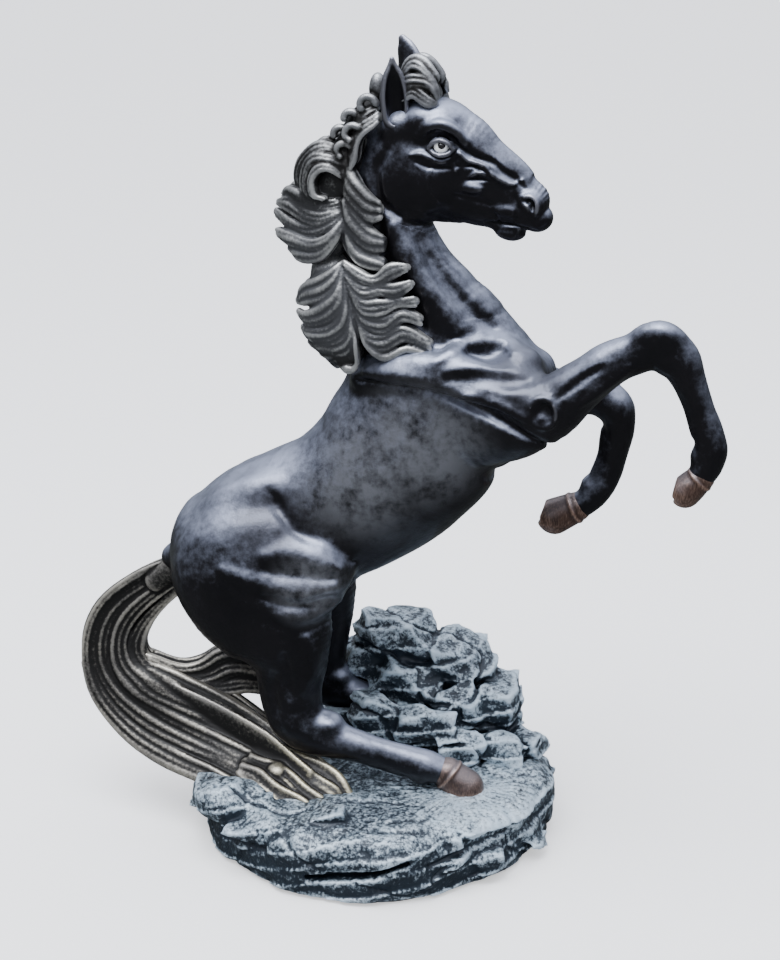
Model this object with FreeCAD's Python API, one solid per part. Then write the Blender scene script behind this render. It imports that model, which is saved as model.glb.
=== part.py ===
"""Rearing horse statue on a rock base, in millimetres, +Z up.

The horse faces +X and its right side is towards -Y.  The origin is under the middle of the base, on the
plane the statue rests on.  The statue is built as a foundry builds one: hollow bronze castings, parted
on flat joint planes, pinned and sleeved together, and bolted through the hooves and the tail to a hollow
rock base that stands on a felt sheet.
"""

import FreeCAD
import Part

import math
import os

Vec = FreeCAD.Vector

# ---------------------------------------------------------------- driving dimensions
BASE_LENGTH = 256.0      # rock base, along X
BASE_DEPTH = 256.0       # rock base, along Y
PLATEAU_Z = 50.0         # level ground the hooves stand on
FELT_THICKNESS = 2.0
FELT_INSET = 3.0         # the felt stops this far inside the rim
BASE_WALL = 8.0          # rock base shell
CEILING_Z = 40.0         # underside of the plateau, inside the hollow base
CAST_WALL = 8.0          # horse shell
SLEEVE_WALL = 3.0        # joint sleeves inside the neck
SLEEVE_REACH = 12.0      # how far a sleeve goes into each casting
DOWEL_RADIUS = 4.0       # steel dowels across the solid joints
DOWEL_REACH = 14.0
STUD_RADIUS = 3.0        # M6 studs
NUT_ACROSS_FLATS = 10.0
NUT_HEIGHT = 5.0
WASHER_RADIUS = 9.0
WASHER_THICKNESS = 1.6
STUD_ABOVE = 10.0        # stud length screwed into a hoof or the tail
HEAD_TURN = -8.0         # degrees about the vertical: the head looks a little to its right
HEAD_PIVOT = Vec(10, 0, 500)
SIDE_AXIS = Vec(0, 1, 0)
OUTLINE_POINTS = 10      # points on each smooth section
LOFT_RUN = 3             # most steps between sections in one smooth run
ROCK_POINTS = 22         # corners on each rock outline
TRUNK_SEAM, NECK_SEAM, HEAD_SEAM, LIMB_SEAM = 0.4, 1.1, 0.7, 1.3   # where each kind of section starts

# Side offsets of the paired parts, as signs: the right side is -Y.
RIGHT, LEFT = -1.0, 1.0


# ---------------------------------------------------------------- shape helpers
def closed_curve(points):
    """A smooth closed wire through the points."""
    curve = Part.BSplineCurve()
    curve.interpolate(points, PeriodicFlag=True)
    return Part.Wire([curve.toShape()])


def oval(centre, up, side, half_up, half_side, seam=0.0):
    """A smooth oval wire with its two half axes along up and side; seam turns where the curve starts."""
    points = []
    for i in range(OUTLINE_POINTS):
        t = seam + 2 * math.pi * i / OUTLINE_POINTS
        points.append(centre + up * (half_up * math.cos(t)) + side * (half_side * math.sin(t)))
    return closed_curve(points)


def loft(wires):
    """A smooth solid through the wires, in runs that share a section: a long single run would ripple."""
    runs = []
    for start in range(0, len(wires) - 1, LOFT_RUN):
        runs.append(Part.makeLoft(wires[start:start + LOFT_RUN + 1], True, False))
    return fused(runs)


def profile_wires(sections, inset=0.0, seam=0.0):
    """Ovals for (top x, top z, bottom x, bottom z, half width) sections, all centred on the XZ plane."""
    wires = []
    for top_x, top_z, low_x, low_z, half_width in sections:
        top, low = Vec(top_x, 0, top_z), Vec(low_x, 0, low_z)
        span = top - low
        up = Vec(span).normalize()
        half_height = span.Length / 2 - inset
        wires.append(oval((top + low) * 0.5, up, SIDE_AXIS, half_height, half_width - inset, seam))
    return wires


def directions(stations):
    """The way the path runs at each station."""
    centres = [Vec(x, y, z) for x, y, z, _, _ in stations]
    last = len(centres) - 1
    return [(centres[min(i + 1, last)] - centres[max(i - 1, 0)]).normalize() for i in range(last + 1)]


def limb_wires(stations, seam=0.0):
    """Ovals square to the path for (x, y, z, half depth, half width) stations."""
    wires = []
    for (x, y, z, half_depth, half_width), along in zip(stations, directions(stations)):
        side = (SIDE_AXIS - along * SIDE_AXIS.dot(along)).normalize()
        wires.append(oval(Vec(x, y, z), along.cross(side), side, half_depth, half_width, seam))
    return wires


def level_wires(stations, seam=0.0):
    """Level ovals for (centre x, centre y, z, half length, half width) stations."""
    return [oval(Vec(x, y, z), Vec(1, 0, 0), SIDE_AXIS, a, b, seam) for x, y, z, a, b in stations]


def limb(stations, seam=0.0):
    return loft(limb_wires(stations, seam))


def half_space(point, normal, size=500.0):
    """A big block that fills the side of a plane that its normal points to."""
    block = Part.makeBox(size, size, size, Vec(-size / 2, -size / 2, 0))
    block.Placement = FreeCAD.Placement(point, FreeCAD.Rotation(Vec(0, 0, 1), normal))
    return block


def pin(centre, along, radius, reach):
    """A round pin that reaches the same distance each way from centre."""
    along = Vec(along).normalize()
    return Part.makeCylinder(radius, 2 * reach, centre - along * reach, along)


def fused(shapes):
    """All the shapes as one, joined one after another."""
    whole = shapes[0]
    for shape in shapes[1:]:
        whole = whole.fuse(shape)
    return whole


def placed(stations, side):
    """Stations with their y given as a distance from the middle, put on the right or left side."""
    return [(x, side * y, z, a, b) for x, y, z, a, b in stations]


def turned(shape):
    """The shape after the head's turn."""
    copy = shape.copy()
    copy.rotate(HEAD_PIVOT, Vec(0, 0, 1), HEAD_TURN)
    return copy


def unit(x, y, z):
    return Vec(x, y, z).normalize()


# ---------------------------------------------------------------- horse: sections
# Trunk, from the tail to the chest: (back x, back z, belly x, belly z, half width).
TRUNK = [
    (-147, 205, -141, 176, 12),
    (-134, 240, -116, 160, 36),
    (-108, 268, -76, 168, 46),
    (-78, 281, -34, 188, 47),
    (-52, 294, 0, 209, 47),
    (-32, 319, 40, 221, 51),
    (-20, 344, 80, 250, 51),
    (-8, 358, 106, 286, 46),
    (30, 374, 120, 322, 40),
    (72, 384, 128, 352, 26),
]
# Neck, from inside the shoulders to the poll: (crest x, crest z, throat x, throat z, half width).
NECK = [
    (-12, 338, 92, 322, 37),
    (-24, 362, 112, 365, 37),
    (-32, 390, 84, 396, 33),
    (-35, 420, 61, 419, 29),
    (-31, 450, 46, 439, 26),
    (-22, 480, 37, 453, 24),
    (-8, 508, 38, 471, 23),
    (8, 526, 44, 498, 20),
]
# Head, from behind the poll to the lips: (upper x, upper z, lower x, lower z, half width).
HEAD = [
    (6, 522, 2, 494, 14),
    (20, 537, 12, 470, 22),
    (52, 534, 32, 458, 25),
    (72, 517, 52, 452, 21),
    (90, 499, 70, 449, 16),
    (105, 484, 88, 445, 15),
    (114, 474, 102, 447, 12),
    (118, 466, 112, 455, 6),
]
# Thigh and gaskin, level ovals downwards: (x, y from middle, z, half length, half width).
THIGH = [
    (-90, 14, 254, 26, 12),
    (-86, 22, 234, 46, 24),
    (-80, 30, 206, 66, 28),
    (-70, 35, 172, 57, 28),
    (-57, 39, 148, 42, 25),
    (-47, 41, 126, 29, 20),
    (-42, 41, 106, 21, 16),
    (-40, 41, 84, 18, 13),
]
# Hind cannon and pastern, along the leg: (x, y from middle, z, half depth, half width).
HIND_CANNON = [
    (-50, 41, 96, 12, 11),
    (-38, 41, 88, 16, 13),
    (-20, 40, 80, 14, 12),
    (8, 39, 72, 11, 10),
    (32, 38, 66, 11.5, 10.5),
    (47, 37, 63, 12.5, 11.5),
    (60, 36, 60, 9.5, 11),
]
# The left hind foot is set this much further back than the right one.
LEFT_HIND_SHIFT = -16.0
# Right foreleg, raised high, from inside the shoulder to inside the hoof.
RIGHT_FORELEG = [
    (84, 26, 314, 30, 18),
    (112, 34, 334, 28, 18),
    (134, 40, 351, 23, 16.5),
    (152, 42, 365, 19, 15),
    (173, 42, 380, 16, 13),
    (196, 41, 390, 16, 13),
    (211, 41, 382, 15, 12.5),
    (220, 41, 362, 11.5, 10.5),
    (228, 40, 340, 11, 10),
    (234, 40, 320, 12.5, 11.5),
    (231, 40, 304, 10.5, 10.5),
    (226, 40, 292, 9, 9),
]
# Left foreleg, held lower and more bent.
LEFT_FORELEG = [
    (76, 26, 300, 28, 17),
    (102, 34, 316, 24, 16),
    (122, 38, 326, 19, 15),
    (138, 38, 329, 16.5, 14),
    (154, 37, 324, 15, 13),
    (166, 36, 308, 13.5, 12),
    (168, 35, 288, 11.5, 10.5),
    (163, 35, 270, 11, 10),
    (153, 34, 256, 12, 11),
    (142, 33, 248, 10.5, 10.5),
    (132, 33, 243, 9, 9),
]
# The section at which each run of sections is parted into two castings.
NECK_JOINT = 2
HEAD_JOINT = 5
FORELEG_JOINT = 2
THIGH_JOINT = 4
# Hooves: where the coronet is, which way the hoof points, and its half width there.
HOOF_LENGTH = 20.0
HOOF_TOP_RADIUS = 10.5
HOOF_TOE_RADIUS = 13.0
RIGHT_FORE_HOOF = (Vec(228, RIGHT * 40, 297), unit(-0.42, 0, -0.9))
LEFT_FORE_HOOF = (Vec(136, LEFT * 33, 245), unit(-0.88, 0, -0.48))
RIGHT_HIND_HOOF_X = 66.0
HIND_HOOF_Y = 36.0
HIND_HOOF_TOP_Z = 67.0
HIND_HOOF_LEAN = unit(0.62, 0, -0.78)
# Ears: where each starts and ends, and (share of length, half depth, half width) sections.
EARS = {RIGHT: (Vec(14, -14, 527), Vec(12, -21, 563)), LEFT: (Vec(17, 13, 532), Vec(12, 18, 577))}
EAR_OUTSIDE = [(0.0, 5.5, 6.5), (0.3, 6.5, 8.5), (0.65, 5.0, 7.0), (1.0, 1.0, 1.2)]
EAR_HOLLOW = [(0.2, 3.0, 4.0), (0.35, 4.0, 5.5), (0.65, 3.5, 4.5), (0.9, 1.2, 1.5)]
EAR_HOLLOW_OFFSET = 4.5
EYE_X, EYE_Y, EYE_Z = 47.0, 23.5, 511.0
EYE_RADIUS = 5.2
EYE_SINK = 1.5           # how far the ball's middle lies inside the skin
PUPIL_RADIUS = 1.9

# ---------------------------------------------------------------- hair: stations along each lock
MANE_UPPER = [
    [(6, -4, 532, 8, 14), (-20, -6, 514, 19, 24), (-42, -8, 488, 25, 27), (-52, -9, 460, 25, 26),
     (-50, -9, 436, 12, 16)],
    [(-2, -10, 500, 14, 20), (-18, -15, 470, 20, 20), (-26, -17, 444, 18, 19), (-38, -17, 428, 9, 12)],
]
MANE_LOWER = [
    [(-20, -8, 446, 16, 20), (-32, -12, 418, 22, 24), (-36, -13, 392, 21, 24), (-34, -14, 370, 12, 14)],
    [(-4, -14, 430, 18, 21), (-8, -20, 406, 24, 22), (-6, -22, 382, 24, 22), (-10, -22, 362, 12, 14)],
    [(8, -16, 424, 15, 18), (16, -22, 402, 20, 18), (28, -26, 386, 18, 16), (44, -30, 376, 7, 9)],
]
FORELOCK = [
    [(12, 0, 536, 9, 12), (26, -2, 552, 13, 13), (40, -4, 552, 11, 11), (50, -5, 543, 6, 7)],
]
TAIL = [
    (-136, 0, 197, 11, 11),
    (-157, 0, 183, 14, 13),
    (-178, 0, 165, 18, 14),
    (-200, -3, 134, 26, 16),
    (-204, -6, 106, 30, 18),
    (-186, -12, 80, 32, 20),
    (-150, -26, 66, 32, 22),
    (-108, -42, 60, 26, 24),
    (-62, -54, 55, 20, 24),
    (-14, -62, 50, 16, 18),
]
TAIL_SIDE_LOCK = [
    (-186, 0, 92, 14, 10),
    (-160, 12, 88, 15, 12),
    (-128, 22, 88, 17, 14),
    (-96, 28, 88, 18, 15),
    (-70, 24, 84, 14, 12),
]

# ---------------------------------------------------------------- rocks
# Rock outlines of the base: (z, share of full size).
BASE_LAYERS = [
    (FELT_THICKNESS, 0.93),
    (9, 0.97),
    (13, 0.92),
    (24, 0.99),
    (28, 0.95),
    (40, 1.0),
    (PLATEAU_Z, 0.93),
]
# Loose blocks of the outcrop: (x, y, z of the middle, half sizes, turn about Z, tilt about X).
OUTCROP_BLOCKS = [
    (4, 76, 88, 36, 26, 46, 8, -8),
    (-18, 84, 78, 26, 22, 34, -12, -6),
    (40, 78, 78, 30, 26, 34, -14, -8),
    (66, 70, 70, 30, 24, 32, 20, -10),
    (92, 52, 60, 24, 24, 24, 34, -8),
    (110, 28, 54, 16, 20, 12, 30, -4),
    (6, 10, 64, 26, 13, 26, -6, -14),
    (46, 14, 62, 26, 14, 22, 10, -14),
    (84, 18, 56, 22, 16, 14, -12, -8),
]
KNOB_BLOCKS = [
    (-94, -66, 44, 26, 24, 18, 30, 6),
    (-60, -90, 34, 26, 18, 16, -14, 4),
]
# Clear space round the left hind leg, so that the leg stands in a cleft of the outcrop.
CLEFT_Y = 39.0
CLEFT_HALF_WIDTH = 17.0
CLEFT_BEYOND_HOOF = 34.0
CEILING_SHARE = 0.88     # the hollow narrows to this share of the full outline
LAYER_PHASE = 0.05       # how fast the uneven outline changes with height

TAIL_BOLT = (-62.0, -54.0)
STUD_BELOW = 3.0         # stud length left below its nut


# ---------------------------------------------------------------- parts of the horse
def thigh_stations(side):
    """The thigh's level ovals on one side; the left leg drifts back as it goes down."""
    top, foot = THIGH[0][2], THIGH[-1][2]
    moved = []
    for x, y, z, a, b in THIGH:
        share = (top - z) / (top - foot)
        drift = LEFT_HIND_SHIFT * share * share if side == LEFT else 0.0
        moved.append((x + drift, side * y, z, a, b))
    return moved


def cannon_stations(side):
    drift = LEFT_HIND_SHIFT if side == LEFT else 0.0
    return [(x + drift, side * y, z, a, b) for x, y, z, a, b in HIND_CANNON]


def hind_leg(side):
    """One hind leg below its joint: gaskin, hock, cannon and pastern in one solid casting."""
    gaskin = loft(level_wires(thigh_stations(side), LIMB_SEAM)[THIGH_JOINT:])
    return fused([gaskin, limb(cannon_stations(side), NECK_SEAM)])


def hoof_cone(top, along, length):
    """A hoof that widens from the coronet to a flat sole."""
    return Part.makeCone(HOOF_TOP_RADIUS, HOOF_TOE_RADIUS, length, top, along)


def hind_hoof_x(side):
    return RIGHT_HIND_HOOF_X + (LEFT_HIND_SHIFT if side == LEFT else 0.0)


def hind_hoof(side):
    """A hoof that stands on the plateau: a leaning cone cut off level."""
    top = Vec(hind_hoof_x(side) - 4, side * HIND_HOOF_Y, HIND_HOOF_TOP_Z)
    cone = hoof_cone(top, HIND_HOOF_LEAN, 2 * HOOF_LENGTH)
    return cone.cut(half_space(Vec(0, 0, PLATEAU_Z), Vec(0, 0, -1)))


def ear(side):
    """One pricked ear: a leaf-shaped cone, hollowed on its front."""
    foot, tip = EARS[side]
    length = (tip - foot).Length
    along = (tip - foot).normalize()
    side_way = (SIDE_AXIS - along * SIDE_AXIS.dot(along)).normalize()
    front_way = along.cross(side_way)
    forward = front_way if front_way.x > 0 else front_way * -1

    def cone(shares, offset):
        wires = []
        for share, depth, width in shares:
            middle = foot + along * (share * length) + forward * offset
            wires.append(oval(middle, forward, side_way, depth, width))
        return loft(wires)

    return cone(EAR_OUTSIDE, 0.0).cut(cone(EAR_HOLLOW, EAR_HOLLOW_OFFSET))


def eye_ball(side):
    return Part.makeSphere(EYE_RADIUS, Vec(EYE_X, side * EYE_Y, EYE_Z) - eye_way(side) * EYE_SINK)


def eye_way(side):
    return unit(0.18, side, 0.12)


def eye_parts(side):
    """The white of one eye, and the dark pupil set in it."""
    ball = eye_ball(side)
    socket = Vec(EYE_X, side * EYE_Y, EYE_Z)
    pupil = Part.makeCylinder(PUPIL_RADIUS, EYE_RADIUS + 1, socket, eye_way(side)).common(ball)
    return ball.cut(pupil), pupil


def largest(shape):
    """The biggest solid of a shape, so that a cut leaves no loose slivers."""
    return max(shape.Solids, key=lambda s: s.Volume)


def hair(locks, lying_on):
    """Locks of hair as one casting, bedded on the solids they lie on."""
    shape = fused([limb(stations, 0.3 * i) for i, stations in enumerate(locks)])
    for solid in lying_on:
        shape = shape.cut(solid)
    return largest(shape)


# ---------------------------------------------------------------- rocks
def rock_outline(z, share, inset=0.0, phase=0.0):
    """An uneven closed outline round the base at height z."""
    points = []
    for i in range(ROCK_POINTS):
        t = 2 * math.pi * i / ROCK_POINTS
        uneven = 1 + 0.030 * math.sin(3 * t + 0.6 + phase)
        uneven += 0.022 * math.sin(5 * t + 2.1 * phase)
        uneven += 0.018 * math.cos(8 * t + 1.3 + 3 * phase)
        x = (BASE_LENGTH / 2 * share * uneven - inset) * math.cos(t)
        y = (BASE_DEPTH / 2 * share * uneven - inset) * math.sin(t)
        points.append(Vec(x, y, z))
    return Part.makePolygon(points + points[:1])


def rock_block(x, y, z, half_x, half_y, half_z, turn, tilt):
    """A rough boulder: a box with its eight corners cut back."""
    box = Part.makeBox(2 * half_x, 2 * half_y, 2 * half_z, Vec(-half_x, -half_y, -half_z))
    for sx in (-1, 1):
        for sy in (-1, 1):
            for sz in (-1, 1):
                bite = 0.66 + 0.08 * math.sin(3 * sx + 5 * sy + 7 * sz + x)
                corner = Vec(sx * half_x * bite, sy * half_y * bite, sz * half_z * bite)
                way = Vec(sx / half_x, sy / half_y, sz / half_z).normalize()
                box = box.cut(half_space(corner, way, 300))
    box.Placement = FreeCAD.Placement(Vec(x, y, z), FreeCAD.Rotation(turn, 0, tilt))
    return box


def rock_base():
    """The hollow base casting, open underneath."""
    outlines = [rock_outline(z, share, 0, z * LAYER_PHASE) for z, share in BASE_LAYERS]
    shell = Part.makeLoft(outlines, True, True)
    shell = fused([shell] + [rock_block(*block) for block in KNOB_BLOCKS])
    shell = shell.cut(half_space(Vec(0, 0, FELT_THICKNESS), Vec(0, 0, -1)))
    rim = rock_outline(FELT_THICKNESS - 1, BASE_LAYERS[0][1], BASE_WALL)
    ceiling = rock_outline(CEILING_Z, CEILING_SHARE, BASE_WALL)
    return largest(shell.cut(Part.makeLoft([rim, ceiling], True, True)))


def felt_pad():
    """The felt sheet glued to the rim; it closes the hollow base underneath."""
    outline = rock_outline(0, BASE_LAYERS[0][1], FELT_INSET, BASE_LAYERS[0][0] * LAYER_PHASE)
    return Part.Face(outline).extrude(Vec(0, 0, FELT_THICKNESS))


def rock_outcrop():
    """The pile of blocks behind and between the hind legs, with a cleft for the left one."""
    pile = fused([rock_block(*block) for block in OUTCROP_BLOCKS])
    pile = pile.common(half_space(Vec(0, 0, PLATEAU_Z), Vec(0, 0, 1)))
    start = -BASE_LENGTH / 2
    end = hind_hoof_x(LEFT) + CLEFT_BEYOND_HOOF
    corner = Vec(start, LEFT * CLEFT_Y - CLEFT_HALF_WIDTH, PLATEAU_Z - 1)
    return largest(pile.cut(Part.makeBox(end - start, 2 * CLEFT_HALF_WIDTH, 200, corner)))


# ---------------------------------------------------------------- fixings
def bolt_places():
    """Where the studs go up through the plateau: the two hind hooves and the tail."""
    hooves = [(hind_hoof_x(side) + 3, side * HIND_HOOF_Y) for side in (RIGHT, LEFT)]
    return hooves + [TAIL_BOLT]


def bored_disc(x, y, z, outline, height, bore):
    """An extruded outline with a round hole for the stud."""
    disc = Part.Face(Part.Wire(outline)).extrude(Vec(0, 0, height))
    return disc.cut(Part.makeCylinder(bore, height, Vec(x, y, z)))


def stud(x, y):
    low = CEILING_Z - WASHER_THICKNESS - NUT_HEIGHT - STUD_BELOW
    return Part.makeCylinder(STUD_RADIUS, PLATEAU_Z + STUD_ABOVE - low, Vec(x, y, low))


def washer(x, y):
    z = CEILING_Z - WASHER_THICKNESS
    circle = Part.makeCircle(WASHER_RADIUS, Vec(x, y, z))
    return bored_disc(x, y, z, [circle], WASHER_THICKNESS, STUD_RADIUS)


def nut(x, y):
    z = CEILING_Z - WASHER_THICKNESS - NUT_HEIGHT
    corner = NUT_ACROSS_FLATS / math.sqrt(3)
    angles = [math.radians(60 * i) for i in range(7)]
    ring = [Vec(x + corner * math.cos(t), y + corner * math.sin(t), z) for t in angles]
    return bored_disc(x, y, z, Part.makePolygon(ring).Edges, NUT_HEIGHT, STUD_RADIUS)


def station_point(stations, index):
    """Where a run of stations is parted, and the way it runs there."""
    x, y, z, _, _ = stations[index]
    return Vec(x, y, z), directions(stations)[index]


# ---------------------------------------------------------------- build
def build_horse():
    """The castings of the horse without its hair."""
    parts = {}
    neck_wires = profile_wires(NECK, 0, NECK_SEAM)
    neck_core = loft(profile_wires(NECK[:-1], CAST_WALL, NECK_SEAM))
    sleeve_core = loft(profile_wires(NECK[:-1], CAST_WALL + SLEEVE_WALL, NECK_SEAM))

    roots = [loft(neck_wires[:NECK_JOINT + 1])]
    for name, side, stations in (("right", RIGHT, RIGHT_FORELEG), ("left", LEFT, LEFT_FORELEG)):
        roots.append(loft(level_wires(thigh_stations(side), LIMB_SEAM)[:THIGH_JOINT + 1]))
        wires = limb_wires(placed(stations, side), LIMB_SEAM)
        roots.append(loft(wires[:FORELEG_JOINT + 1]))
        parts[name + "_foreleg"] = loft(wires[FORELEG_JOINT:])
    torso = fused([loft(profile_wires(TRUNK, 0, TRUNK_SEAM))] + roots)
    trunk_core = loft(profile_wires(TRUNK[1:-1], CAST_WALL, TRUNK_SEAM))
    parts["torso"] = torso.cut(trunk_core).cut(neck_core)

    neck = loft(neck_wires[NECK_JOINT:HEAD_JOINT + 1])
    parts["neck"] = neck.cut(neck_core)
    poll = loft(neck_wires[HEAD_JOINT:])
    face = turned(loft(profile_wires(HEAD, 0, HEAD_SEAM)))
    head = poll.fuse(face.common(half_space(*profile_joint(NECK, HEAD_JOINT))))
    for side in (RIGHT, LEFT):
        head = head.cut(turned(eye_ball(side)))
    parts["head"] = head.cut(neck_core)

    for name, joint in (("neck_sleeve", NECK_JOINT), ("head_sleeve", HEAD_JOINT)):
        point, normal = profile_joint(NECK, joint)
        reach = normal * SLEEVE_REACH
        slab = half_space(point - reach, normal).cut(half_space(point + reach, normal))
        parts[name] = neck_core.common(slab).cut(sleeve_core)

    for name, side in (("right", RIGHT), ("left", LEFT)):
        white, pupil = eye_parts(side)
        parts[name + "_eye_white"] = turned(white)
        parts[name + "_pupil"] = turned(pupil)
        parts[name + "_ear"] = largest(turned(ear(side)).cut(head))
        parts[name + "_hind_hoof"] = hind_hoof(side)
        parts[name + "_hind_leg"] = largest(hind_leg(side).cut(parts[name + "_hind_hoof"]))
    for name, (top, along) in (("right", RIGHT_FORE_HOOF), ("left", LEFT_FORE_HOOF)):
        parts[name + "_fore_hoof"] = hoof_cone(top, along, HOOF_LENGTH)
        parts[name + "_foreleg"] = largest(parts[name + "_foreleg"].cut(parts[name + "_fore_hoof"]))
    skin = [torso, neck, head]
    return parts, skin


def profile_joint(sections, index):
    """The plane of a profile section: its middle, and its normal pointing up."""
    top_x, top_z, low_x, low_z, _ = sections[index]
    middle = Vec((top_x + low_x) / 2, 0, (top_z + low_z) / 2)
    return middle, unit(top_z - low_z, 0, low_x - top_x)


def add_hair(parts, skin):
    """Mane, forelock and tail, each cut to sit on the castings and rocks under it."""
    under = skin + [parts["right_ear"], parts["left_ear"]]
    parts["mane_upper"] = hair(MANE_UPPER, under)
    parts["mane_lower"] = hair(MANE_LOWER, under + [parts["mane_upper"]])
    parts["forelock"] = hair(FORELOCK, under + [parts["mane_upper"]])
    ground = [parts["rock_base"], parts["right_hind_leg"], parts["left_hind_leg"]]
    parts["tail"] = hair([TAIL], ground + [skin[0]])
    parts["tail_side_lock"] = hair([TAIL_SIDE_LOCK], ground + [parts["tail"], parts["rock_outcrop"]])


def add_dowels(parts):
    """Steel dowels across the solid joints, with their holes."""
    hind = [station_point(thigh_stations(side), THIGH_JOINT)[0] for side in (RIGHT, LEFT)]
    fore = [station_point(placed(RIGHT_FORELEG, RIGHT), FORELEG_JOINT),
            station_point(placed(LEFT_FORELEG, LEFT), FORELEG_JOINT)]
    tail_root = (Vec(-145, 0, 191), unit(-0.8, 0, -0.6))
    dowels = {
        "foreleg_dowels": ([pin(*spot, DOWEL_RADIUS, DOWEL_REACH) for spot in fore],
                           ["torso", "right_foreleg", "left_foreleg"]),
        "hind_leg_dowels": ([pin(point, Vec(0, 0, 1), DOWEL_RADIUS, DOWEL_REACH) for point in hind],
                            ["torso", "right_hind_leg", "left_hind_leg"]),
        "tail_dowel": ([pin(*tail_root, DOWEL_RADIUS, DOWEL_REACH)], ["torso", "tail"]),
    }
    for name, (pins, drilled) in dowels.items():
        parts[name] = Part.Compound(pins)
        for casting in drilled:
            for one in pins:
                parts[casting] = parts[casting].cut(one)


def add_fixings(parts):
    """Studs, washers and nuts that hold the horse and its tail to the base, with the stud holes."""
    places = bolt_places()
    studs = [stud(x, y) for x, y in places]
    hind = [f"{side}_hind_{part}" for side in ("right", "left") for part in ("hoof", "leg")]
    for casting in ["rock_base", "tail"] + hind:
        for one in studs:
            parts[casting] = parts[casting].cut(one)
    parts["base_studs"] = Part.Compound(studs)
    parts["stud_washers"] = Part.Compound([washer(x, y) for x, y in places])
    parts["stud_nuts"] = Part.Compound([nut(x, y) for x, y in places])


def main():
    os.makedirs("parts", exist_ok=True)
    parts, skin = build_horse()
    parts["rock_base"] = rock_base()
    parts["rock_outcrop"] = rock_outcrop()
    parts["felt_pad"] = felt_pad()
    add_hair(parts, skin)
    add_dowels(parts)
    add_fixings(parts)
    for name, shape in parts.items():
        solids = shape.Solids
        out = solids[0] if len(solids) == 1 else Part.Compound(solids)
        out.exportStep(f"parts/{name}.step")
        print(f"{name}: {len(solids)} solid(s), {shape.Volume / 1000:.1f} cm3, valid {shape.isValid()}")


main()
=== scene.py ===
import math

import bpy
import numpy as np
import openvdb
from mathutils import Matrix, Vector

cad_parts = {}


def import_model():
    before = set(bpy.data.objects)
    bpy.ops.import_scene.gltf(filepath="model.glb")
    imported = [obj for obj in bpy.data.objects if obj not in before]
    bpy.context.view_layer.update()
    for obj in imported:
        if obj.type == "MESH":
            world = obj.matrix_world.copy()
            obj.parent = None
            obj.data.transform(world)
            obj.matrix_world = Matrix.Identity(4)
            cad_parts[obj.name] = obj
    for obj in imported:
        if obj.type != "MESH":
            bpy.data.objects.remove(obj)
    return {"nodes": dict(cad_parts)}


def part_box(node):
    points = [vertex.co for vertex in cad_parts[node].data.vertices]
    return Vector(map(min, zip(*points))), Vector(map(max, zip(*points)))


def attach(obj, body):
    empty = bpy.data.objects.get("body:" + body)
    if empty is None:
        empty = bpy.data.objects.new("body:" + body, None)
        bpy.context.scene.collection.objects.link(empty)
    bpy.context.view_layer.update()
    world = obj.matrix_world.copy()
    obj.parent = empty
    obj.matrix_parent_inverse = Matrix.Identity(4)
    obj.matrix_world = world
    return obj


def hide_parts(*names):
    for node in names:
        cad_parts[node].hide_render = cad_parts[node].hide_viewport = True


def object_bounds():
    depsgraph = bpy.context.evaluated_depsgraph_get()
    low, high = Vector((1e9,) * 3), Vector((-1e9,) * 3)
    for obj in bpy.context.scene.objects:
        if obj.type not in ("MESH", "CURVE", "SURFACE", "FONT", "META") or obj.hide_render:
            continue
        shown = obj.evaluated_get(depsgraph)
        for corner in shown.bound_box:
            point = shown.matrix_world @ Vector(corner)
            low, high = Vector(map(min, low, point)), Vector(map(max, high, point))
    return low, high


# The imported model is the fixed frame.  The statue is carved as signed distances on a grid, in the
# millimetres of the CAD model, and each piece rides on the CAD body and stands for its CAD node.
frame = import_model()
CAD_LOW, CAD_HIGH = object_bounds()
DESIGN_HEIGHT = 577.17                 # height of the CAD model in its own millimetres
MM = (CAD_HIGH.z - CAD_LOW.z) / DESIGN_HEIGHT
FAR = 40.0                             # distance, in mm, of untouched grid points
THINNEST = 0.3                         # least radius of a sweep, in mm
BROAD = 6.0                            # distance, in mm, over which the rise mark compares heights
# grid steps, in mm: trunk and legs; head; ears, hooves and forelock; other hair; tail; base; outcrop
BODY_VOXEL, HEAD_VOXEL, FINE_VOXEL, HAIR_VOXEL, TAIL_VOXEL = 1.5, 0.8, 0.7, 0.9, 1.0
BASE_VOXEL, OUTCROP_VOXEL = 1.4, 1.2
BODY = "root"
VIEW_AZIMUTH, VIEW_HEIGHT = 12, 20     # degrees: the camera's way round to the front, and up
VIEW_DISTANCE = 1500.0
VIEW_TARGET = (10.0, 0.0, 268.0)
LENS, SENSOR = 79.125, 36              # mm of the camera itself

RIGHT, LEFT = -1.0, 1.0
HEAD_TURN = -8.0                       # degrees: the head looks a little to its right
POLL_X = 10.0
NECK_BEND = (385.0, 455.0)             # heights between which the neck takes up the turn


def node_mm(node):
    """Lowest corner, highest corner and middle of a CAD node, in millimetres."""
    low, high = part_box(node)
    low, high = np.array(low) / MM, np.array(high) / MM
    return low, high, (low + high) / 2


# ------------------------------------------------------------------ distance carving
def soft_min(a, b, k):
    """The lesser of two distances, rounded where they cross within k."""
    if k <= 0:
        return np.minimum(a, b)
    h = np.maximum(k - np.abs(a - b), 0) / k
    return np.minimum(a, b) - h * h * k * 0.25


def unit(v):
    v = np.asarray(v, float)
    return v / np.linalg.norm(v)


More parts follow.
